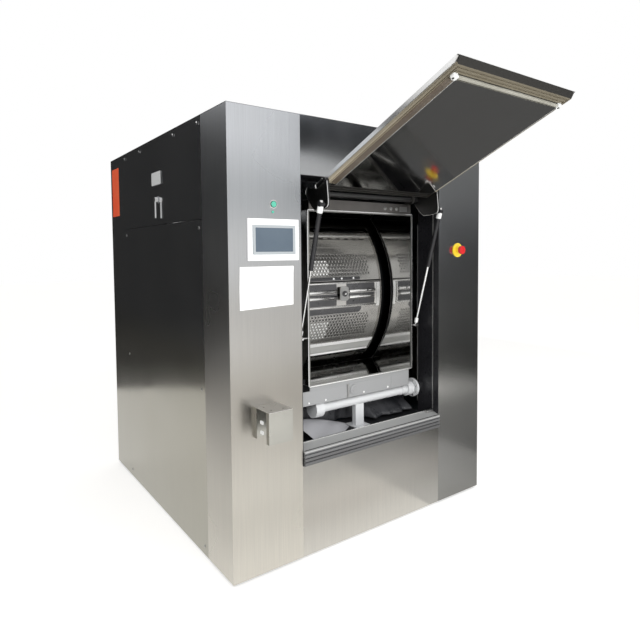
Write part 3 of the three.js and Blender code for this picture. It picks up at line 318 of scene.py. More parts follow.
# Material, line, low, high, then tone, roughness and metalness
for material, line, low, high, *finish in (
    (THROAT, "Y", -0.807, -0.809, (0.3, 0.3, 0.285), 0.34),
    (THROAT, "Z", 0.835, 0.8345, (0.38, 0.385, 0.39), 0.4, 0.45),
    # Painted dark reflection: the polished drum shell beyond both ends of the doors, painted black
    (DRUM_BODY, "X", 0.3345, 0.3355, RING_PAINTED_DARK, 0.32),
    (DRUM_BODY, "X", -0.3045, -0.3055, RING_PAINTED_DARK, 0.32),
    # Painted shade: the drum near black above the top of the opening
    (DRUM_STEEL, "Z", 1.645, 1.66, DRUM_SHADE, 0.3),
    (DRUM_BODY, "Z", 1.645, 1.66, DRUM_SHADE, 0.3),
    (SILL, "Z", 0.5435, 0.5425, (0.17, 0.172, 0.175), 0.32),
    (SILL, "Z", 0.5175, 0.5165, (0.13, 0.13, 0.132), 0.36),
    (SILL, "Y", -0.868, -0.8675, (0.018, 0.018, 0.02), 0.5, 0.0),
    # Painted highlight: the top of the catch box near white
    (BOX_STEEL, "Z", 0.824, 0.8245, (0.96, 0.96, 0.95), 0.3),
    (SEAL, from_hinge, 1.0125, 1.0135, (0.016, 0.015, 0.013), 0.42),
    (SEAL, from_hinge, 0.15, 0.146, (0.02, 0.019, 0.017), 0.42),
):
    masked(material, line, low, high, *finish)


# Mesh helpers
def add(name, bm, material, body, slot, smooth=None, bevel=None, matrix=None):
    """A piece from a bmesh, in metres, that rides on a body."""
    if matrix is not None:
        bmesh.ops.transform(bm, matrix=matrix, verts=bm.verts)
    bmesh.ops.recalc_face_normals(bm, faces=bm.faces)
    mesh = bpy.data.meshes.new(name)
    bm.to_mesh(mesh)
    bm.free()
    piece = linked(name, mesh)
    mesh.materials.append(material)
    if smooth:
        mesh.shade_smooth()
        mesh.set_sharp_from_angle(angle=math.radians(smooth))
    if bevel:
        soften(piece, bevel)
    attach(piece, body)
    return piece


def soften(piece, width, segments=2):
    made = piece.modifiers.new("edge", "BEVEL")
    made.width = width
    made.segments = segments
    made.limit_method = "ANGLE"
    made.angle_limit = math.radians(35)


def box_into(bm, low, high):
    corners = [bm.verts.new((x, y, z)) for x in (low[0], high[0]) for y in (low[1], high[1])
               for z in (low[2], high[2])]
    sides = ((0, 1, 3, 2), (4, 6, 7, 5), (0, 4, 5, 1), (2, 3, 7, 6), (0, 2, 6, 4), (1, 5, 7, 3))
    for side in sides:
        bm.faces.new([corners[i] for i in side])


def turned_into(bm, profile, start, axis, sides):
    """A closed turned shape: profile points are (distance along the axis, radius), in metres."""
    axis = Vector(axis).normalized()
    across = axis.orthogonal().normalized()
    other = axis.cross(across)
    rings = []
    for far, radius in profile:
        centre = Vector(start) + axis * far
        if radius <= 0:
            rings.append([bm.verts.new(centre)])
            continue
        rings.append([
            bm.verts.new(centre + (across * math.cos(a) + other * math.sin(a)) * radius)
            for a in (2 * math.pi * i / sides for i in range(sides))
        ])
    for a, b in zip(rings, rings[1:]):
        for i in range(sides):
            j = (i + 1) % sides
            if len(a) == 1:
                bm.faces.new((a[0], b[j], b[i]))
            elif len(b) == 1:
                bm.faces.new((a[i], a[j], b[0]))
            else:
                bm.faces.new((a[i], a[j], b[j], b[i]))
    for ring in (rings[0], rings[-1]):
        if len(ring) > 1:
            bm.faces.new(ring)


def prism_into(bm, points, span, axis):
    """An outline drawn out along x (points are y, z) or y (points are x, z)."""
    first, last = ([bm.verts.new((w, u, v) if axis == "x" else (u, w, v)) for u, v in points]
                   for w in span)
    for i in range(len(points)):
        j = (i + 1) % len(points)
        bm.faces.new((first[i], first[j], last[j], last[i]))
    bm.faces.new(first)
    bm.faces.new(last)


def rounded(width, height, radius, steps=6, centre=(0, 0)):
    """The outline of a rectangle with round corners."""
    points = []
    for sx, sy, start in ((1, 1, 0), (-1, 1, 90), (-1, -1, 180), (1, -1, 270)):
        for i in range(steps + 1):
            a = math.radians(start + 90 * i / steps)
            points.append((centre[0] + sx * (width / 2 - radius) + radius * math.cos(a),
                           centre[1] + sy * (height / 2 - radius) + radius * math.sin(a)))
    return points


def net_faces(bm, net):
    """Faces between the rows of a net of vertices."""
    for row, below in zip(net, net[1:]):
        for c in range(len(row) - 1):
            bm.faces.new((row[c], row[c + 1], below[c + 1], below[c]))


# Whole pieces: *place is material, body and slot
def boxes(name, spans, *place, **looks):
    """A piece of plain blocks: spans are pairs of opposite corners."""
    bm = bmesh.new()
    for low, high in spans:
        box_into(bm, low, high)
    return add(name, bm, *place, **looks)


def plates(name, outlines, span, axis, *place, **looks):
    """A piece of flat plates: outlines drawn out over span along an axis."""
    bm = bmesh.new()
    for outline in outlines:
        prism_into(bm, outline, span, axis)
    return add(name, bm, *place, **looks)


def turnings(name, profile, starts, axis, sides, *place, **looks):
    """A piece of equal turned shapes, one at each start."""
    bm = bmesh.new()
    for start in starts:
        turned_into(bm, profile, start, axis, sides)
    return add(name, bm, *place, **looks)


def ring_piece(name, loops, *place, **looks):
    """A ring through loops of an outline (x, z) and its y, closed from the last to the first."""
    bm = bmesh.new()
    rings = [[bm.verts.new((u, y, v)) for u, v in points] for points, y in loops]
    for a, b in zip(rings, rings[1:] + rings[:1]):
        for i in range(len(a)):
            j = (i + 1) % len(a)
            bm.faces.new((a[i], a[j], b[j], b[i]))
    return add(name, bm, *place, **looks)


def tube_piece(name, points, radius, material, body, resolution):
    """A round bar or hose on a smooth line."""
    curve = bpy.data.curves.new(name, "CURVE")
    curve.dimensions = "3D"
    curve.bevel_depth = radius
    curve.bevel_resolution = resolution
    curve.use_fill_caps = True
    spline = curve.splines.new("NURBS")
    spline.points.add(len(points) - 1)
    for point, where in zip(spline.points, points):
        point.co = (*where, 1)
    spline.use_endpoint_u = True
    spline.order_u = 4
    piece = linked(name, curve)
    curve.materials.append(material)
    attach(piece, body)
    return piece


# CAD nodes: materials and edges
SPRINGS = {"front_left": (-0.48, -0.45), "rear_left": (-0.48, 0.45),
           "front_right": (0.51, -0.45), "rear_right": (0.51, 0.45)}
FINISH = {
    STEEL_SIDE: ["side_panel_left", "side_hatch", "casing_rear_left", "side_panel_right",
                 "casing_rear_right", "top_panel"],
    STEEL_FRONT: ["casing_front_left", "surround_rear", "rear_door_pan"],
    STEEL_PANEL: ["lower_panel_front", "lower_panel_rear"],
    STEEL_HEAD: ["header_front"],
    STEEL_DARK: ["casing_front_right"],
    STEEL_SATIN: ["tub_shell", "tub_end_left", "tub_end_right", "drain_pipe", "rear_door_yoke",
                  "drum_end_left", "drum_end_right"],
    STEEL_BEAM: ["hinge_beam_front"],
    STEEL_YOKE: ["door_yoke"],
    SILL: ["sill_front"],
    THROAT: ["throat_front"],
    MIRROR: ["throat_rear"],
    PLUG: ["door_plug"],
    DRUM_BODY: ["drum_shell"],
    DRUM_STEEL: ["drum_flap_upper", "drum_flap_lower"],
    BRIGHT: ["button_ring", "hatch_lever", "strut_rod_left", "strut_rod_right", "door_pan"],
    BOX_STEEL: ["catch_box"],
    CAST: ["manifold_pipe", "flap_latch", "bearing_housing_left", "bearing_housing_right",
           "motor_pulley", "drum_pulley"],
    BLACK: ["jamb_frame", "strut_tube_left", "strut_tube_right"],
    RUBBER: ["splash_curtain", "drive_belt", *("air_spring_" + name for name in SPRINGS)],
    SEAL: ["door_seal"],
    FRAME_PAINT: ["base_frame", "cradle_left", "cradle_right"],
    MOTOR_PAINT: ["drive_motor"],
    WHITE: ["hmi_bezel"],
    SCREEN: ["hmi_screen"],
    GREEN: ["start_button"],
    RED: ["stop_button"],
    YELLOW: ["stop_ring"],
}
for material, names in FINISH.items():
    for name in names:
        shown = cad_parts[name]
        if shown.material_slots:
            for material_slot in shown.material_slots:
                material_slot.material = material
        else:
            shown.data.materials.append(material)

SHEET_EDGE, FORMED_EDGE, CAST_EDGE = 0.0022, 0.0015, 0.001
for name in ("casing_front_left", "casing_front_right", "casing_rear_left", "casing_rear_right",
             "header_front", "lower_panel_front", "side_panel_left", "side_panel_right",
             "side_hatch", "top_panel", "surround_rear", "lower_panel_rear", "jamb_frame"):
    soften(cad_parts[name], SHEET_EDGE, 3)
for name in ("sill_front", "door_pan", "rear_door_pan", "door_plug", "throat_front",
             "hinge_beam_front"):
    soften(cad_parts[name], FORMED_EDGE)
for name in ("catch_box", "stop_ring", "hatch_lever", "door_yoke", "rear_door_yoke", "base_frame"):
    soften(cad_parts[name], CAST_EDGE)

# Drum doors with their holes
DRUM_Z = 1.29
DRUM_R = 0.6
DOOR_X = (-0.304, 0.334)
DOOR_SHEET = 0.003
HOLE_SIDES, HOLE_LIP = 10, 0.0006
PAINTED_GLINT_END = -0.055


def on_drum(x, degrees, radius):
    a = math.radians(degrees)
    return (x, -radius * math.cos(a), DRUM_Z + radius * math.sin(a))


def curved_sheet(bm, x_span, angle_span, radius, thickness, steps=24):
    """A plain bent sheet over part of the drum."""
    rows = []
    for i in range(steps + 1):
        a = angle_span[0] + (angle_span[1] - angle_span[0]) * i / steps
        rows.append([bm.verts.new(on_drum(x, a, r))
                     for r in (radius, radius - thickness) for x in x_span])
    for p, q in zip(rows, rows[1:]):
        bm.faces.new((p[0], p[1], q[1], q[0]))
        bm.faces.new((p[2], q[2], q[3], p[3]))
        bm.faces.new((p[0], q[0], q[2], p[2]))
        bm.faces.new((p[1], p[3], q[3], q[1]))
    for end in (rows[0], rows[-1]):
        bm.faces.new((end[0], end[1], end[3], end[2]))


def holed_sheet(bm, field, radius, thickness):
    """A bent sheet with rows of round or oblong holes, built cell by cell."""
    (x0, x1), (low, high) = field["x"], field["angles"]
    (pitch_x, pitch_a), (hole_x, hole_a) = field["pitch"], field["hole"]
    columns = int((x1 - x0) / pitch_x)
    arc = math.radians(high - low) * radius
    rows = int(arc / pitch_a)
    left = (x0 + x1 - columns * pitch_x) / 2
    foot = (arc - rows * pitch_a) / 2

    def point(u, v, r):
        return bm.verts.new(on_drum(u, low + math.degrees(v / radius), r))

    for row in range(rows):
        shift = pitch_x / 2 if field.get("stagger", True) and row % 2 else 0
        for column in range(columns - (1 if shift else 0)):
            u = left + (column + 0.5) * pitch_x + shift
            v = foot + (row + 0.5) * pitch_a
            outer, inner, under = [], [], []
            for k in range(HOLE_SIDES):
                a = 2 * math.pi * k / HOLE_SIDES
                c, s = math.cos(a), math.sin(a)
                reach = 1 / max(abs(c), abs(s))
                u1, v1 = u + c * reach * pitch_x / 2, v + s * reach * pitch_a / 2
                outer.append(point(u1, v1, radius))
                inner.append(point(u + c * hole_x, v + s * hole_a, radius - HOLE_LIP))
                under.append(point(u + c * hole_x, v + s * hole_a, radius - thickness))
            for k in range(HOLE_SIDES):
                j = (k + 1) % HOLE_SIDES
                bm.faces.new((outer[k], outer[j], inner[j], inner[k]))
                bm.faces.new((inner[k], inner[j], under[j], under[k]))
        if shift:
            v0 = foot + row * pitch_a
            v1 = v0 + pitch_a
            for u0 in (left, left + (columns - 0.5) * pitch_x):
                u1 = u0 + pitch_x / 2
                corners = ((u0, v0), (u1, v0), (u1, v1), (u0, v1))
                bm.faces.new([point(u, v, radius) for u, v in corners])
    return left, left + columns * pitch_x, math.degrees(foot / radius)


def flap_piece(name, body, from_angle, to_angle, fields, rails):
    """A drum door: bent sheet, perforated fields, slots and raised rails."""
    bm = bmesh.new()
    x0, x1 = DOOR_X[0] + 0.001, DOOR_X[1] - 0.001
    cursor = from_angle
    for field in sorted(fields, key=lambda f: f["angles"][0]):
        low, high = field["angles"]
        curved_sheet(bm, (x0, x1), (cursor, low), DRUM_R, DOOR_SHEET)
        left, right_edge, spare = holed_sheet(bm, field, DRUM_R, DOOR_SHEET)
        for beside in ((x0, left), (right_edge, x1)):
            curved_sheet(bm, beside, (low, high), DRUM_R, DOOR_SHEET, 12)
        # What the whole rows leave of the field, below and above them
        if spare > 0.02:
            for between in ((low, low + spare), (high - spare, high)):
                curved_sheet(bm, (left, right_edge), between, DRUM_R, DOOR_SHEET, 2)
        cursor = high
    curved_sheet(bm, (x0, x1), (cursor, to_angle), DRUM_R, DOOR_SHEET)
    for low, high, lift in rails:
        curved_sheet(bm, (x0, x1), (low, high), DRUM_R + lift, lift + 0.002, 2)
    skin = add(name, bm, DRUM_STEEL, body, "polished", smooth=30)
    # Behind the holes: a black sheet as painted shade for the dark inside the drum, and a pale
    # sheet as painted glints that show in some of them
    bm = bmesh.new()
    for field in fields:
        curved_sheet(bm, (x0 + 0.002, x1 - 0.002), field["angles"], DRUM_R - 0.0032, 0.0008)
    add(name + "_painted_shade", bm, SEAL_BLACK, body, "black_paint")
    bm = bmesh.new()
    low, high = min(field["angles"] for field in fields)
    curved_sheet(bm, (x0 + 0.002, PAINTED_GLINT_END), (low, high - 4.5), DRUM_R - 0.0031, 0.0006)
    add(name + "_painted_glint", bm, SOCKET, body, "polished")
    return skin


HOLES = {"pitch": (0.023, 0.019), "hole": (0.0058, 0.0056)}
SLOTS = {"pitch": (0.0645, 0.018), "hole": (0.019, 0.0055), "stagger": False}
upper = flap_piece("drum_flap_upper_skin", "drum_flap_upper", 7.3, 39.0, [
    {"x": (-0.296, 0.262), "angles": (9.8, 23.6), **HOLES},
    {"x": (-0.292, 0.312), "angles": (32.2, 34.0), **SLOTS},
], [(27.0, 27.5, 0.003)])
lower = flap_piece("drum_flap_lower_skin", "drum_flap_lower", -39.0, 6.5, [
    {"x": (-0.296, 0.262), "angles": (-26.6, -11.9), **HOLES},
], [(-31.6, -29.4, 0.008)])


def drum_part(name, body, patches, material, steps=3, bevel=None):
    """Plates on a drum door: patches are (x span, angle span, outer and inner radius)."""
    bm = bmesh.new()
    for x0, x1, low, high, outer, inner in patches:
        curved_sheet(bm, (x0, x1), (low, high), outer, outer - inner, steps)
    return add(name, bm, material, body, "polished", bevel=bevel)


def drum_bars(name, body, bars, radius, lift, material=BRIGHT):
    """Round bars that lie along the drum: bars are (x from, x to, angle)."""
    bm = bmesh.new()
    for x0, x1, angle in bars:
        start = on_drum(x0, angle, DRUM_R + lift)
        profile = [(0, radius * 0.6), (radius * 0.4, radius), (x1 - x0 - radius * 0.4, radius),
                   (x1 - x0, radius * 0.6)]
        turned_into(bm, profile, start, (1, 0, 0), 16)
    return add(name, bm, material, body, "polished", smooth=50)


# The band between the drum doors: dark strips, bars and rails on both sides of the latch
LEFT_END, PLATE_LEFT, PLATE_RIGHT, BAR_END, RIGHT_END = -0.302, -0.012, 0.063, 0.286, 0.33
BAR_START, STRIP_END = 0.078, 0.168
BAND = (DRUM_R + 0.001, DRUM_R - 0.0006)
UNDER = DRUM_R - 0.001
drum_part("drum_band_dark", "drum_flap_lower", [
    (LEFT_END, PLATE_LEFT, 1.9, 5.5, *BAND), (PLATE_RIGHT, BAR_END, 1.9, 5.5, *BAND),
    (LEFT_END, PLATE_LEFT, -6.7, -3.3, *BAND), (PLATE_RIGHT, BAR_END, -6.7, -3.3, *BAND),
    (LEFT_END, BAR_END, -1.5, -0.1, *BAND), (LEFT_END, STRIP_END, -11.4, -8.1, *BAND),
], DRUM_DARK)
drum_part("drum_band_dark_end", "drum_flap_lower", [
    (STRIP_END, 0.176, -11.0, -8.1, *BAND), (0.176, 0.182, -10.2, -8.1, *BAND),
], DRUM_DARK)
drum_part("drum_band_upper_dark", "drum_flap_upper", [
    (LEFT_END, 0.172, 7.5, 9.4, *BAND)], DRUM_DARK)
drum_bars("drum_band_bars", "drum_flap_lower", [
    (LEFT_END, PLATE_LEFT, 1.25), (BAR_START, BAR_END, 1.25), (LEFT_END, PLATE_LEFT, -2.2),
    (BAR_START, BAR_END - 0.012, -2.2)], 0.01, 0.004)
drum_bars("drum_band_rails", "drum_flap_lower", [
    (LEFT_END, RIGHT_END, 6.0), (LEFT_END, 0.3, -7.3)], 0.0035, 0.003)
drum_part("drum_band_frame", "drum_flap_lower", [
    (0.291, 0.299, -7.4, 6.1, DRUM_R + 0.005, UNDER),
    (0.306, RIGHT_END, -8.6, 6.2, DRUM_R + 0.003, UNDER),
], BRIGHT, 6, 0.001)
drum_part("drum_strip_upper", "drum_flap_upper", [
    (LEFT_END, RIGHT_END, 34.5, 35.4, DRUM_R + 0.005, UNDER)], BRIGHT, 2, 0.0008)
# Lower strips and bar of steel, in pale and grey tones as painted reflection
drum_part("drum_strip_lower", "drum_flap_lower", [
    (LEFT_END, RIGHT_END, -31.6, -29.4, DRUM_R + 0.0086, UNDER)], PALE_PAINTED_REFLECTION, 3, 0.0008)
drum_part("drum_strip_grey", "drum_flap_lower", [
    (LEFT_END, RIGHT_END, -37.4, -31.8, DRUM_R + 0.0016, UNDER)], GREY_PAINTED_REFLECTION, 6)
drum_bars("drum_strip_bar", "drum_flap_lower", [(LEFT_END, RIGHT_END, -38.3)], 0.006, 0.002, PALE_PAINTED_REFLECTION)
drum_part("drum_strip_shell", "drum", [
    (LEFT_END, RIGHT_END, -43.5, -41.2, DRUM_R + 0.0016, UNDER)], GREY_PAINTED_REFLECTION)
bm = bmesh.new()
for x, angle, lift in ((0.219, 1.2, 0.0125), (-0.235, -2.2, 0.0125), (-0.14, -4.9, 0.001),
                       (0.12, -4.7, 0.001)):
    turned_into(bm, [(0, 0.0062), (0.0026, 0.0058)], on_drum(x, angle, DRUM_R + lift),
                (0, -1, math.radians(angle)), 14)
add("drum_band_screws", bm, DRUM_DARK, "drum_flap_lower", "polished", smooth=30)
turnings("drum_band_studs", [(0, 0.006), (0.003, 0.005)],
         [on_drum(x, 8.5, DRUM_R + 0.0008) for x in (-0.03, 0.03, 0.12)], (0, -1, 0.148), 14,
         SOCKET, "drum_flap_upper", "polished", smooth=30)

# The latch between the drum doors: a plate with a ringed bolt
LATCH_X, LATCH_Y, LATCH_Z = 0.032, -0.6125, DRUM_Z
bm = bmesh.new()
for width, height, corner, y_span in ((0.062, 0.084, 0.012, (LATCH_Y, LATCH_Y - 0.007)),
                                      (0.044, 0.06, 0.01, (LATCH_Y - 0.007, LATCH_Y - 0.009))):
    prism_into(bm, rounded(width, height, corner, 5, (LATCH_X, LATCH_Z)), y_span, "y")
latch = add("flap_latch_plate", bm, STEEL_SATIN, "flap_latch", "cast", smooth=40, bevel=0.0015)
turnings("flap_latch_ring",
         [(0, 0.017), (0.006, 0.017), (0.0075, 0.0155), (0.0075, 0.0095), (0.003, 0.009)],
         [(LATCH_X, LATCH_Y - 0.009, LATCH_Z)], (0, -1, 0), 28,
         DRUM_DARK, "flap_latch", "cast", smooth=40)
turnings("flap_latch_bolt", [(0, 0.008), (0.009, 0.008), (0.0115, 0.0055)],
         [(LATCH_X, LATCH_Y - 0.0095, LATCH_Z)], (0, -1, 0), 6,
         BRIGHT, "flap_latch", "cast", smooth=25)

# Throat rim bead
RIM_FRONT, RIM_BACK = -0.8144, -0.807
outer = rounded(0.766, 0.931, 0.012, centre=(0.015, 1.2935))
inner = rounded(0.754, 0.919, 0.008, centre=(0.015, 1.2935))
ring_piece("throat_rim_bead",
           [(outer, RIM_FRONT), (outer, RIM_BACK), (inner, RIM_BACK), (inner, RIM_FRONT)],
           BRIGHT, "tub", "polished", smooth=40)

# The plates of the apron under the throat, a bar, a hub and screws on them
APRON_Y = -0.803
boxes("apron_plate", [((x0, APRON_Y, 0.728), (x1, -0.8008, 0.8045)) for x0, x1 in (
    (-0.398, -0.106), (-0.1055, 0.2225), (0.2345, 0.327))], THROAT, "tub", "polished", bevel=0.0008)
boxes("apron_bar", [((-0.099, -0.809, 0.73), (-0.089, APRON_Y, 0.804))],
      STEEL_SATIN, "tub", "satin", bevel=0.001)
turnings("apron_hub",
         [(0, 0.028), (0.003, 0.028), (0.0045, 0.0265), (0.0045, 0.013), (0.007, 0.011),
          (0.007, 0)], [(-0.052, APRON_Y, 0.768)], (0, -1, 0), 36,
         THROAT, "tub", "satin", smooth=35)
turnings("apron_screws", [(0, 0.0055), (0.003, 0.005)],
         [(x, APRON_Y, 0.742) for x in (0.205, 0.02, -0.25, -0.36)], (0, -1, 0), 12,
         SOCKET, "tub", "satin", smooth=30)

# Bolts and a plain plate on the hinge beam
BEAM_Y, BEAM_BOLT_Z = -0.8115, 1.785
bm = bmesh.new()
prism_into(bm, rounded(0.06, 0.03, 0.004, 4, (0.325, BEAM_BOLT_Z)), (BEAM_Y, -0.8135), "y")
for x in (0.18, 0.225, 0.27):
    turned_into(bm, [(0, 0.012), (0.0012, 0.012), (0.0012, 0.0085), (0.006, 0.0085),
                     (0.0075, 0.006)], (x, BEAM_Y, BEAM_BOLT_Z), (0, -1, 0), 6)
add("beam_bolts", bm, STEEL_SATIN, "tub", "satin", bevel=0.0006)

# Struts: white sockets at the door, bright ends at the throat
BALL = Vector((0, -0.9925, 1.7676))
FOOT = Vector((0, -0.8, 1.0881))
down = (FOOT - BALL).normalized()
for side, x in (("left", -0.41), ("right", 0.44)):
    ball, foot = BALL + Vector((x, 0, 0)), FOOT + Vector((x, 0, 0))
    turnings("strut_socket_" + side,
             [(0.01, 0.0125), (0.013, 0.0148), (0.04, 0.0148), (0.043, 0.0135)],
             [ball], down, 20, SOCKET, "strut_tube_" + side, "white_plastic", smooth=35)
    turnings("strut_ball_" + side,
             [(-0.02, 0.006), (-0.02, 0.0095), (0.0, 0.0115), (0.008, 0.0115), (0.012, 0.009)],
             [ball], down, 18, BRIGHT, "strut_tube_" + side, "polished", smooth=45)
    turnings("strut_end_" + side,
             [(-0.046, 0.0078), (-0.043, 0.0105), (-0.02, 0.0105), (-0.017, 0.0078)],
             [foot], down, 18, SOCKET, "strut_rod_" + side, "white_plastic", smooth=35)

# Loading door, drawn shut and turned with the door to its lifted place
LIFT = Matrix.Rotation(math.radians(-113), 4, "X")
TURN = Matrix.Translation(HINGE) @ LIFT @ Matrix.Translation(-HINGE)
SEAL_Y, PLUG_Y = -0.8153, -0.8
SEAL_FOOT = SEAL_Y - 0.0003
boxes("door_channel", [((x0, SEAL_FOOT, 0.9), (x1, SEAL_Y + 0.0012, 1.687)) for x0, x1 in (
    (-0.352, -0.3325), (0.3625, 0.382))], SEAL_BROWN, "front_door", "seal_rubber", matrix=TURN)
boxes("door_trim", [((x0, SEAL_FOOT, 0.89), (x1, PLUG_Y + 0.0006, 1.687)) for x0, x1 in (
    (-0.3325, -0.3284), (0.3584, 0.3625))], BRIGHT, "front_door", "polished", bevel=0.0008,
      matrix=TURN)
step = [(-0.328, 0.872), (-0.1, 0.8735), (0.13, 0.8725), (0.358, 0.874), (0.358, 0.8846),
        (-0.328, 0.8846)]
plates("door_step", [step], (SEAL_FOOT, PLUG_Y - 0.004), "y",
       SEAL_PALE, "front_door", "seal_rubber", bevel=0.0012, matrix=TURN)
boxes("door_groove", [((-0.328, SEAL_FOOT, 0.87), (0.358, SEAL_Y + 0.001, 0.8722))],
      SEAL_BLACK, "front_door", "seal_rubber", matrix=TURN)
for side, x, hole_x in (("left", -0.34, -0.35), ("right", 0.37, 0.366)):
    plates("door_corner_" + side, [rounded(0.026, 0.024, 0.006, 4, (x, 0.878))],
           (SEAL_FOOT, PLUG_Y + 0.0015), "y",
           SOCKET, "front_door", "white_plastic", bevel=0.0015, matrix=TURN)
    turnings("door_corner_hole_" + side, [(0, 0.0052), (0.0022, 0.0048)],
             [(hole_x, PLUG_Y + 0.0015, 0.88)], (0, 1, 0), 14,
             SEAL_BLACK, "front_door", "seal_rubber", matrix=TURN)
boxes("door_seal_lines", [
    ((x - 0.0006, SEAL_FOOT, 0.84), (x + 0.0006, SEAL_Y + 0.0002, 1.755))
    for x in (-0.363, -0.357, 0.387, 0.393)], SEAL_BROWN, "front_door", "seal_rubber",
      matrix=TURN)
edge = [(-0.844, 1.7), (-0.844, 1.762), (-0.841, 1.7685), (-0.833, 1.77), (-0.821, 1.7685),
        (-0.815, 1.762), (-0.814, 1.7), (-0.8165, 1.7), (-0.8175, 1.76), (-0.8225, 1.7655),
        (-0.833, 1.7668), (-0.84, 1.765), (-0.8418, 1.76), (-0.8418, 1.7)]
bm = bmesh.new()
for x_span in ((-0.388, -0.3835), (0.4135, 0.418)):
    prism_into(bm, edge, x_span, "x")
add("door_rolled_edge", bm, BRIGHT, "front_door", "polished", bevel=0.0008, matrix=TURN)

# Bright rods along the edges of the door's arm plates, a painted highlight on those edges
ARM_RIM = [(-0.83, 1.675), (-0.732, 1.702), (-0.704, 1.714), (-0.702, 1.732),
           (-0.704, 1.75), (-0.73, 1.82), (-0.74, 1.832), (-0.825, 1.864),
           (-0.848, 1.866), (-0.864, 1.854), (-0.868, 1.838)]
for side, x in (("left", -0.3803), ("right", 0.4017)):
    tube_piece("door_arm_painted_highlight_" + side, [TURN @ Vector((x, y, z)) for y, z in ARM_RIM], 0.0024,
               BRIGHT, "front_door", 3)

# Sides: blank data plate, bare strip, and the screws of hatch and panels
HATCH_X, PANEL_X = -0.879, 0.875
SCREW = [(0, 0.0075), (0.0012, 0.0075), (0.003, 0.0045)]
plates("data_plate", [rounded(0.15, 0.074, 0.006, 4, (-0.028, 1.9675))],
       (HATCH_X - 0.0008, HATCH_X + 0.0006), "x", PLATE, "side_hatch", "satin", bevel=0.0004)
turnings("data_plate_rivets", [(0, 0.0035), (0.0012, 0.003)],
         [(HATCH_X - 0.0008, y, z) for y in (-0.095, 0.039) for z in (1.938, 1.997)],
         (-1, 0, 0), 10, BRIGHT, "side_hatch", "polished", smooth=40)
plates("side_strip", [rounded(0.16, 0.33, 0.004, 3, (0.8175, 1.965))], (-0.8757, -0.8748), "x",
       ORANGE, "cabinet", "red_plastic")
turnings("hatch_screws", SCREW, [(HATCH_X, y, 2.165) for y in (-0.62, -0.3, 0.27, 0.58)],
         (-1, 0, 0), 20, BRIGHT, "side_hatch", "polished", smooth=40)
bm = bmesh.new()
for y in (-0.615, 0.585):
    for z in (0.06, 0.86, 1.66):
        for out in (-1, 1):
            turned_into(bm, SCREW, (out * PANEL_X, y, z), (out, 0, 0), 20)
add("side_screws", bm, STEEL_SATIN, "cabinet", "satin", smooth=40)

# Control panel: grey frame round the screen, and the bare notice sheet under it
outer = rounded(0.231, 0.137, 0.005, 4, (-0.64, 1.5955))
inner = rounded(0.203, 0.111, 0.003, 4, (-0.64, 1.5955))
ring_piece("hmi_frame", [(outer, -0.9396), (outer, -0.9415), (inner, -0.9405), (inner, -0.9396)],
           GREY, "cabinet", "white_plastic", smooth=30)
SHEET_COLUMNS, SHEET_ROWS = 28, 20
bm = bmesh.new()
faces = []
for thickness in (0.0, 0.0007):
    net = []
    for r in range(SHEET_ROWS + 1):
        v = r / SHEET_ROWS
        line = []
        for c in range(SHEET_COLUMNS + 1):
            u = c / SHEET_COLUMNS
            x = -0.824 + 0.287 * u + 0.004 * v
            z = 1.275 + 0.012 * (1 - v) * u + 0.197 * v
            curl = 0.0025 * (u ** 6 + (1 - v) ** 5) + 0.0006 * math.sin(9 * u + 5 * v) ** 2
            line.append(bm.verts.new((x, -0.9304 - curl - thickness, z)))
        net.append(line)
    faces.append(net)
for net in faces:
    net_faces(bm, net)
rim = [(0, c) for c in range(SHEET_COLUMNS)] + [(r, SHEET_COLUMNS) for r in range(SHEET_ROWS)]
rim += [(SHEET_ROWS, c) for c in range(SHEET_COLUMNS, 0, -1)]
rim += [(r, 0) for r in range(SHEET_ROWS, 0, -1)]
back, front = faces
for (r, c), (r2, c2) in zip(rim, rim[1:] + rim[:1]):
    bm.faces.new((back[r][c], back[r2][c2], front[r2][c2], front[r][c]))
add("notice_sheet", bm, PAPER, "cabinet", "white_plastic", smooth=60)

# Start button: its small pilot under the ring, and a black collar
turnings("button_pilot", [(0, 0.0065), (0.002, 0.0065), (0.0032, 0.004)],
         [(-0.643, -0.9303, 1.7255)], (0, -1, 0), 18,
         GREEN, "cabinet", "green_plastic", smooth=40)
turnings("button_collar",
         [(0, 0.0165), (0.0025, 0.0165), (0.0035, 0.0152), (0.0035, 0.0145), (0.0015, 0.0145)],
         [(-0.643, -0.9383, 1.761)], (0, -1, 0), 32,
         SEAL_BLACK, "cabinet", "black_paint", smooth=40)

# Catch box: a pale lining, and clips in its open side
boxes("box_lining", [((-0.6345, -1.06, 0.683), (-0.6337, -0.933, 0.822)),
                     ((-0.755, -1.0622, 0.683), (-0.635, -1.0614, 0.822))],
      PLATE, "cabinet", "satin")
plates("box_clips", [rounded(0.026, 0.016, 0.004, 3, (-1.0, z)) for z in (0.722, 0.768)],
       (-0.7585, -0.753), "x", SOCKET, "cabinet", "white_plastic", bevel=0.0008)

# Manifold: bolts round the flange, and bands on the pipe
PIPE_Y, PIPE_Z, BOLT_CIRCLE = -0.75, 0.69, 0.0485
bolt_angles = [math.radians(22.5 + 45 * k) for k in range(8)]
turnings("manifold_bolts", [(0, 0.006), (0.005, 0.006), (0.0062, 0.0042)],
         [(0.4547, PIPE_Y + BOLT_CIRCLE * math.cos(a), PIPE_Z + BOLT_CIRCLE * math.sin(a))
          for a in bolt_angles], (-1, 0, 0), 6, BRIGHT, "cabinet", "satin", smooth=25)
turnings("manifold_bands", [(0, 0.0302), (0.0015, 0.0335), (0.0065, 0.0335), (0.008, 0.0302)],
         [(x, PIPE_Y, PIPE_Z) for x in (-0.247, 0.352, 0.388)], (1, 0, 0), 32,
         CAST, "cabinet", "cast", smooth=40)

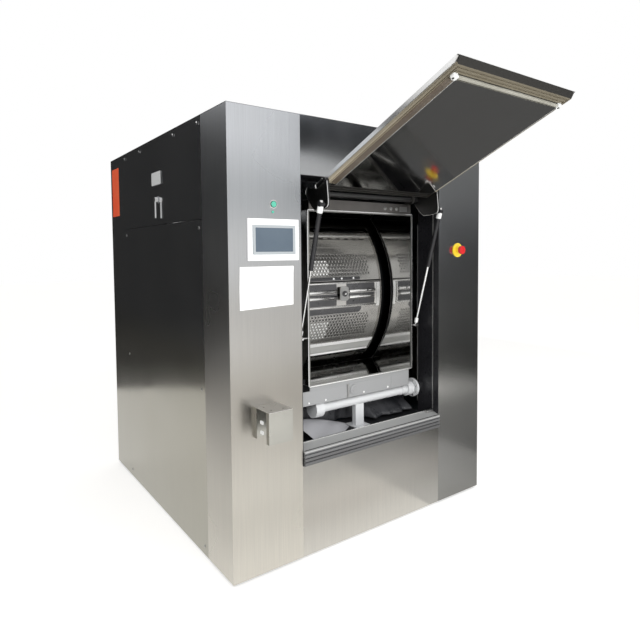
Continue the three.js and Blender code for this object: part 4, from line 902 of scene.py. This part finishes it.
# Sill: a dark groove along its top, a bead behind it and an end block
SILL_X = (-0.482, 0.499)
plates("sill_groove",
       [[(-0.937, 0.5518), (-0.9325, 0.553), (-0.9325, 0.554), (-0.937, 0.5528)]],
       SILL_X, "x", SEAL_BLACK, "cabinet", "black_paint")
plates("sill_rear_bead",
       [[(-0.876, 0.567), (-0.87, 0.57), (-0.87, 0.5735), (-0.876, 0.5735)]],
       SILL_X, "x", BRIGHT, "cabinet", "satin", bevel=0.0008)
boxes("sill_block", [((0.44, -0.898, 0.564), (0.494, -0.876, 0.578))],
      STEEL_SATIN, "cabinet", "satin", bevel=0.003)

boxes("jamb_trims", [((0.4955, -0.765, 0.6), (0.499, -0.759, 1.7)),
                     ((0.4955, -0.891, 0.58), (0.499, -0.885, 1.85)),
                     ((-0.482, -0.891, 0.58), (-0.4785, -0.885, 1.85))],
      STEEL_SATIN, "cabinet", "satin", bevel=0.0008)

RUBBER_SHEET = 0.0016


def thickened(piece):
    made = piece.modifiers.new("thick", "SOLIDIFY")
    made.thickness = RUBBER_SHEET
    return made


def ease(share):
    share = min(1.0, max(0.0, share))
    return share * share * (3 - 2 * share)


# Skirt under the throat, hung in deep folds. Each is a wave: size, count over the width, drift on
# the way down, start
SKIRT_X, SKIRT_Z = (-0.439, 0.469), (0.5606, 0.832)
SKIRT_COLUMNS, SKIRT_ROWS = 220, 36
skirt_tall = SKIRT_Z[1] - SKIRT_Z[0]
FOLDS = ((0.6, 4.6, 1.1, 0.0), (0.3, 9.7, -1.6, 0.8), (0.12, 17.0, 2.5, 2.0))
bm = bmesh.new()
net = []
for r in range(SKIRT_ROWS + 1):
    v = r / SKIRT_ROWS
    line = []
    for c in range(SKIRT_COLUMNS + 1):
        u = c / SKIRT_COLUMNS
        x = SKIRT_X[0] + (SKIRT_X[1] - SKIRT_X[0]) * u
        lean = u + 0.05 * v * math.sin(5.1 * u + 0.7)
        wave = sum(size * math.sin(2 * math.pi * count * lean + drift * v + start)
                   for size, count, drift, start in FOLDS)
        depth = 0.0175 * (0.25 + 0.75 * v) * wave
        flare = ease((v - 0.72) / 0.28) * ease((x - 0.085) / 0.05) * ease((SKIRT_X[1] - x) / 0.03)
        y = -0.6665 + depth - 0.105 * flare
        line.append(bm.verts.new((x, y, SKIRT_Z[1] - skirt_tall * v)))
    net.append(line)
net_faces(bm, net)
skirt_area = sum(face.calc_area() for face in bm.faces)
skirt = add("splash_skirt", bm, SKIRT, "tub", "black_rubber", smooth=60)
thickened(skirt)

# A fold of black rubber that lies on the shelf at the left, under the end of the pipe, painted grey
# as its sheen
FOLD_BACK = [(-0.43, -0.702, 0.632), (-0.33, -0.696, 0.626), (-0.22, -0.692, 0.604),
             (-0.12, -0.695, 0.574), (-0.038, -0.7, 0.547)]
FOLD_FRONT = [(-0.345, -0.856, 0.545), (-0.285, -0.852, 0.544), (-0.205, -0.836, 0.543),
              (-0.115, -0.798, 0.542), (-0.04, -0.745, 0.5415)]
FOLD_COLUMNS, FOLD_ROWS, SHELF_TOP = 60, 16, 0.5412


def on_line(points, share):
    """A point on a smooth line through points, at a share of its way."""
    spot = share * (len(points) - 1)
    i = min(int(spot), len(points) - 2)
    before, a, b, after = (
        Vector(points[min(max(k, 0), len(points) - 1)]) for k in range(i - 1, i + 3))
    t = spot - i
    return 0.5 * (2 * a + (b - before) * t + (2 * before - 5 * a + 4 * b - after) * t ** 2
                  + (3 * a - before - 3 * b + after) * t ** 3)


bm = bmesh.new()
net = []
for c in range(FOLD_COLUMNS + 1):
    u = c / FOLD_COLUMNS
    top, foot = on_line(FOLD_BACK, u), on_line(FOLD_FRONT, u)
    line = []
    for r in range(FOLD_ROWS + 1):
        v = r / FOLD_ROWS
        spot = top.lerp(foot, v)
        spot.z += 0.01 * math.sin(math.pi * v) * math.sin(9 * u + 2.5 * v)
        spot.z = max(spot.z, SHELF_TOP)
        line.append(bm.verts.new(spot))
    net.append(line)
for a, b in zip(net, net[1:]):
    for r in range(FOLD_ROWS):
        bm.faces.new((a[r], b[r], b[r + 1], a[r + 1]))
fold_area = sum(face.calc_area() for face in bm.faces)
fold = add("skirt_fold", bm, FOLD_PAINTED_SHEEN, "cabinet", "black_rubber", smooth=60)
thickened(fold).offset = 0

# Air springs: two bellies of rubber between clamping rings
SPRING_LOW, SPRING_HIGH, SPRING_DROP = 0.2506, 0.4194, 0.01
BELLY_STEPS = 8
tall = SPRING_HIGH - SPRING_LOW
profile = [(0.0, 0.0), (0.0, 0.058), (0.01, 0.06)]
for belly in range(2):
    foot = 0.012 + belly * (tall / 2 - 0.004)
    for i in range(BELLY_STEPS + 1):
        a = math.pi * i / BELLY_STEPS
        height = foot + (tall / 2 - 0.02) * i / BELLY_STEPS
        profile.append((height, 0.056 + 0.018 * math.sin(a)))
profile += [(tall - 0.01, 0.06), (tall, 0.058), (tall, 0.0)]
springs = []
for name, (x, y) in SPRINGS.items():
    spring = turnings("air_bellows_" + name, profile, [(x, y, SPRING_LOW)], (0, 0, 1), 40,
                      RUBBER, "tub", "black_rubber", smooth=40)
    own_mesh(spring)
    springs.append((spring, "air_spring_" + name))

# Roof: the plugs over its lifting eyes
turnings("roof_plugs",
         [(0, 0.026), (0.002, 0.026), (0.0035, 0.022), (0.0035, 0.01), (0.002, 0.009)],
         [(x, y, 2.1998) for x in (-0.62, 0.62) for y in (-0.66, 0.66)], (0, 0, 1), 32,
         STEEL_SATIN, "cabinet", "satin", smooth=40)


# Studio: a pale floor, boards that only reflections see, a white world and three lamps
def seen_by(tree, *rays):
    """1 for these kinds of ray, else 0."""
    path = node(tree, "ShaderNodeLightPath")
    seen = path.outputs[rays[0]]
    for ray in rays[1:]:
        seen = node(tree, "ShaderNodeMath", {0: seen, 1: path.outputs[ray]},
                    operation="MAXIMUM").outputs[0]
    return seen


def stage_object(name, bm, material):
    mesh = bpy.data.meshes.new(name)
    bm.to_mesh(mesh)
    bm.free()
    mesh.materials.append(material)
    return linked(name, mesh)


floor_material, tree, shader = new_material("stage_floor")
feed(shader, {"Base Color": (0.82, 0.81, 0.79, 1), "Roughness": 0.9})
watched = seen_by(tree, "Is Camera Ray", "Is Transmission Ray")
glow = node(tree, "ShaderNodeEmission", {
    "Color": (1, 1, 1, 1), "Strength": ranged(tree, watched, 0.2, 0.46, 0.0, 1.0)})
total = node(tree, "ShaderNodeAddShader", {0: shader.outputs["BSDF"], 1: glow.outputs["Emission"]})
feed(tree.nodes["Material Output"], {"Surface": total.outputs["Shader"]})
bm = bmesh.new()
bmesh.ops.create_grid(bm, x_segments=1, y_segments=1, size=30)
floor = stage_object("stage_floor", bm, floor_material)
floor.location = (0, 0, -0.0005)


def card(name, corners, stops, axis):
    """A board that only reflections see, its grey by height (Z) or by X."""
    material, tree, shader = new_material(name)
    span = (stops[0][0], stops[-1][0])
    greys = banded(tree, axis_of(tree, axis), span, stops)
    feed(shader, {"Base Color": greys, "Roughness": 1})
    bm = bmesh.new()
    bm.faces.new([bm.verts.new(corner) for corner in corners])
    board = stage_object(name, bm, material)
    board.visible_camera = False
    board.visible_diffuse = False
    board.visible_shadow = False
    board.visible_transmission = False


def wall_card(name, start, end, low, high, stops):
    card(name, [(*start, low), (*end, low), (*end, high), (*start, high)], stops, "Z")


def floor_card(name, outline, stops):
    card(name, [(x, y, 0.002) for x, y in outline], stops, "X")


wall_card("card_left", (-7.01, -0.87), (0.27, 4.42), 0.0, 3.4,
          [(0.0, 0.2), (0.35, 0.07), (0.9, 0.035), (3.4, 0.035)])
wall_card("card_front", (5.27, -0.4), (2.75, -3.26), 0.0, 3.3,
          [(0.0, 0.05), (1.3, 0.055), (2.3, 0.16), (3.3, 0.16)])
wall_card("card_header", (2.75, -3.26), (1.83, -4.3), 2.1, 3.3,
          [(2.1, 0.15), (2.6, 0.1), (2.95, 0.03), (3.3, 0.03)])
floor_card("floor_right", [(0.92, -0.85), (1.35, -0.85), (1.35, -2.6), (6.0, -2.6), (6.0, 4.5),
                           (0.92, 4.5)], [(0.9, 0.17), (6.0, 0.17)])
floor_card("floor_front", [(0.45, -3.0), (1.345, -3.0), (1.345, -0.95), (0.45, -0.95)],
           [(0.45, 0.75), (1.345, 0.42)])

world = bpy.data.worlds.new("studio")
bpy.context.scene.world = world
world.use_nodes = True
tree = world.node_tree
watched = seen_by(tree, "Is Camera Ray", "Is Glossy Ray", "Is Transmission Ray")
feed(tree.nodes["Background"], {
    "Color": (1, 1, 1, 1), "Strength": ranged(tree, watched, 0.62, 1.0, 0.0, 1.0)})


def lamp(name, where, target, size, energy):
    data = bpy.data.lights.new(name, "AREA")
    data.size = size
    data.energy = energy
    made = linked(name, data)
    made.location = where
    made.rotation_mode = "QUATERNION"
    made.rotation_quaternion = (Vector(target) - Vector(where)).to_track_quat("-Z", "Y")
    made.visible_glossy = False


lamp("key", (-3.2, -5.0, 4.2), (0, 0, 1.1), 2.5, 160)
lamp("fill", (3.0, -4.5, 3.4), (0, 0, 1.2), 3.0, 60)
lamp("low", (0.3, -4.6, 1.0), (0, -0.8, 0.8), 2.0, 45)

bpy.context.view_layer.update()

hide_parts("drum_flap_upper")
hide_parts("drum_flap_lower")
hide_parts("flap_latch")
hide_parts("splash_curtain")
for spring, name in springs:
    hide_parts(name)
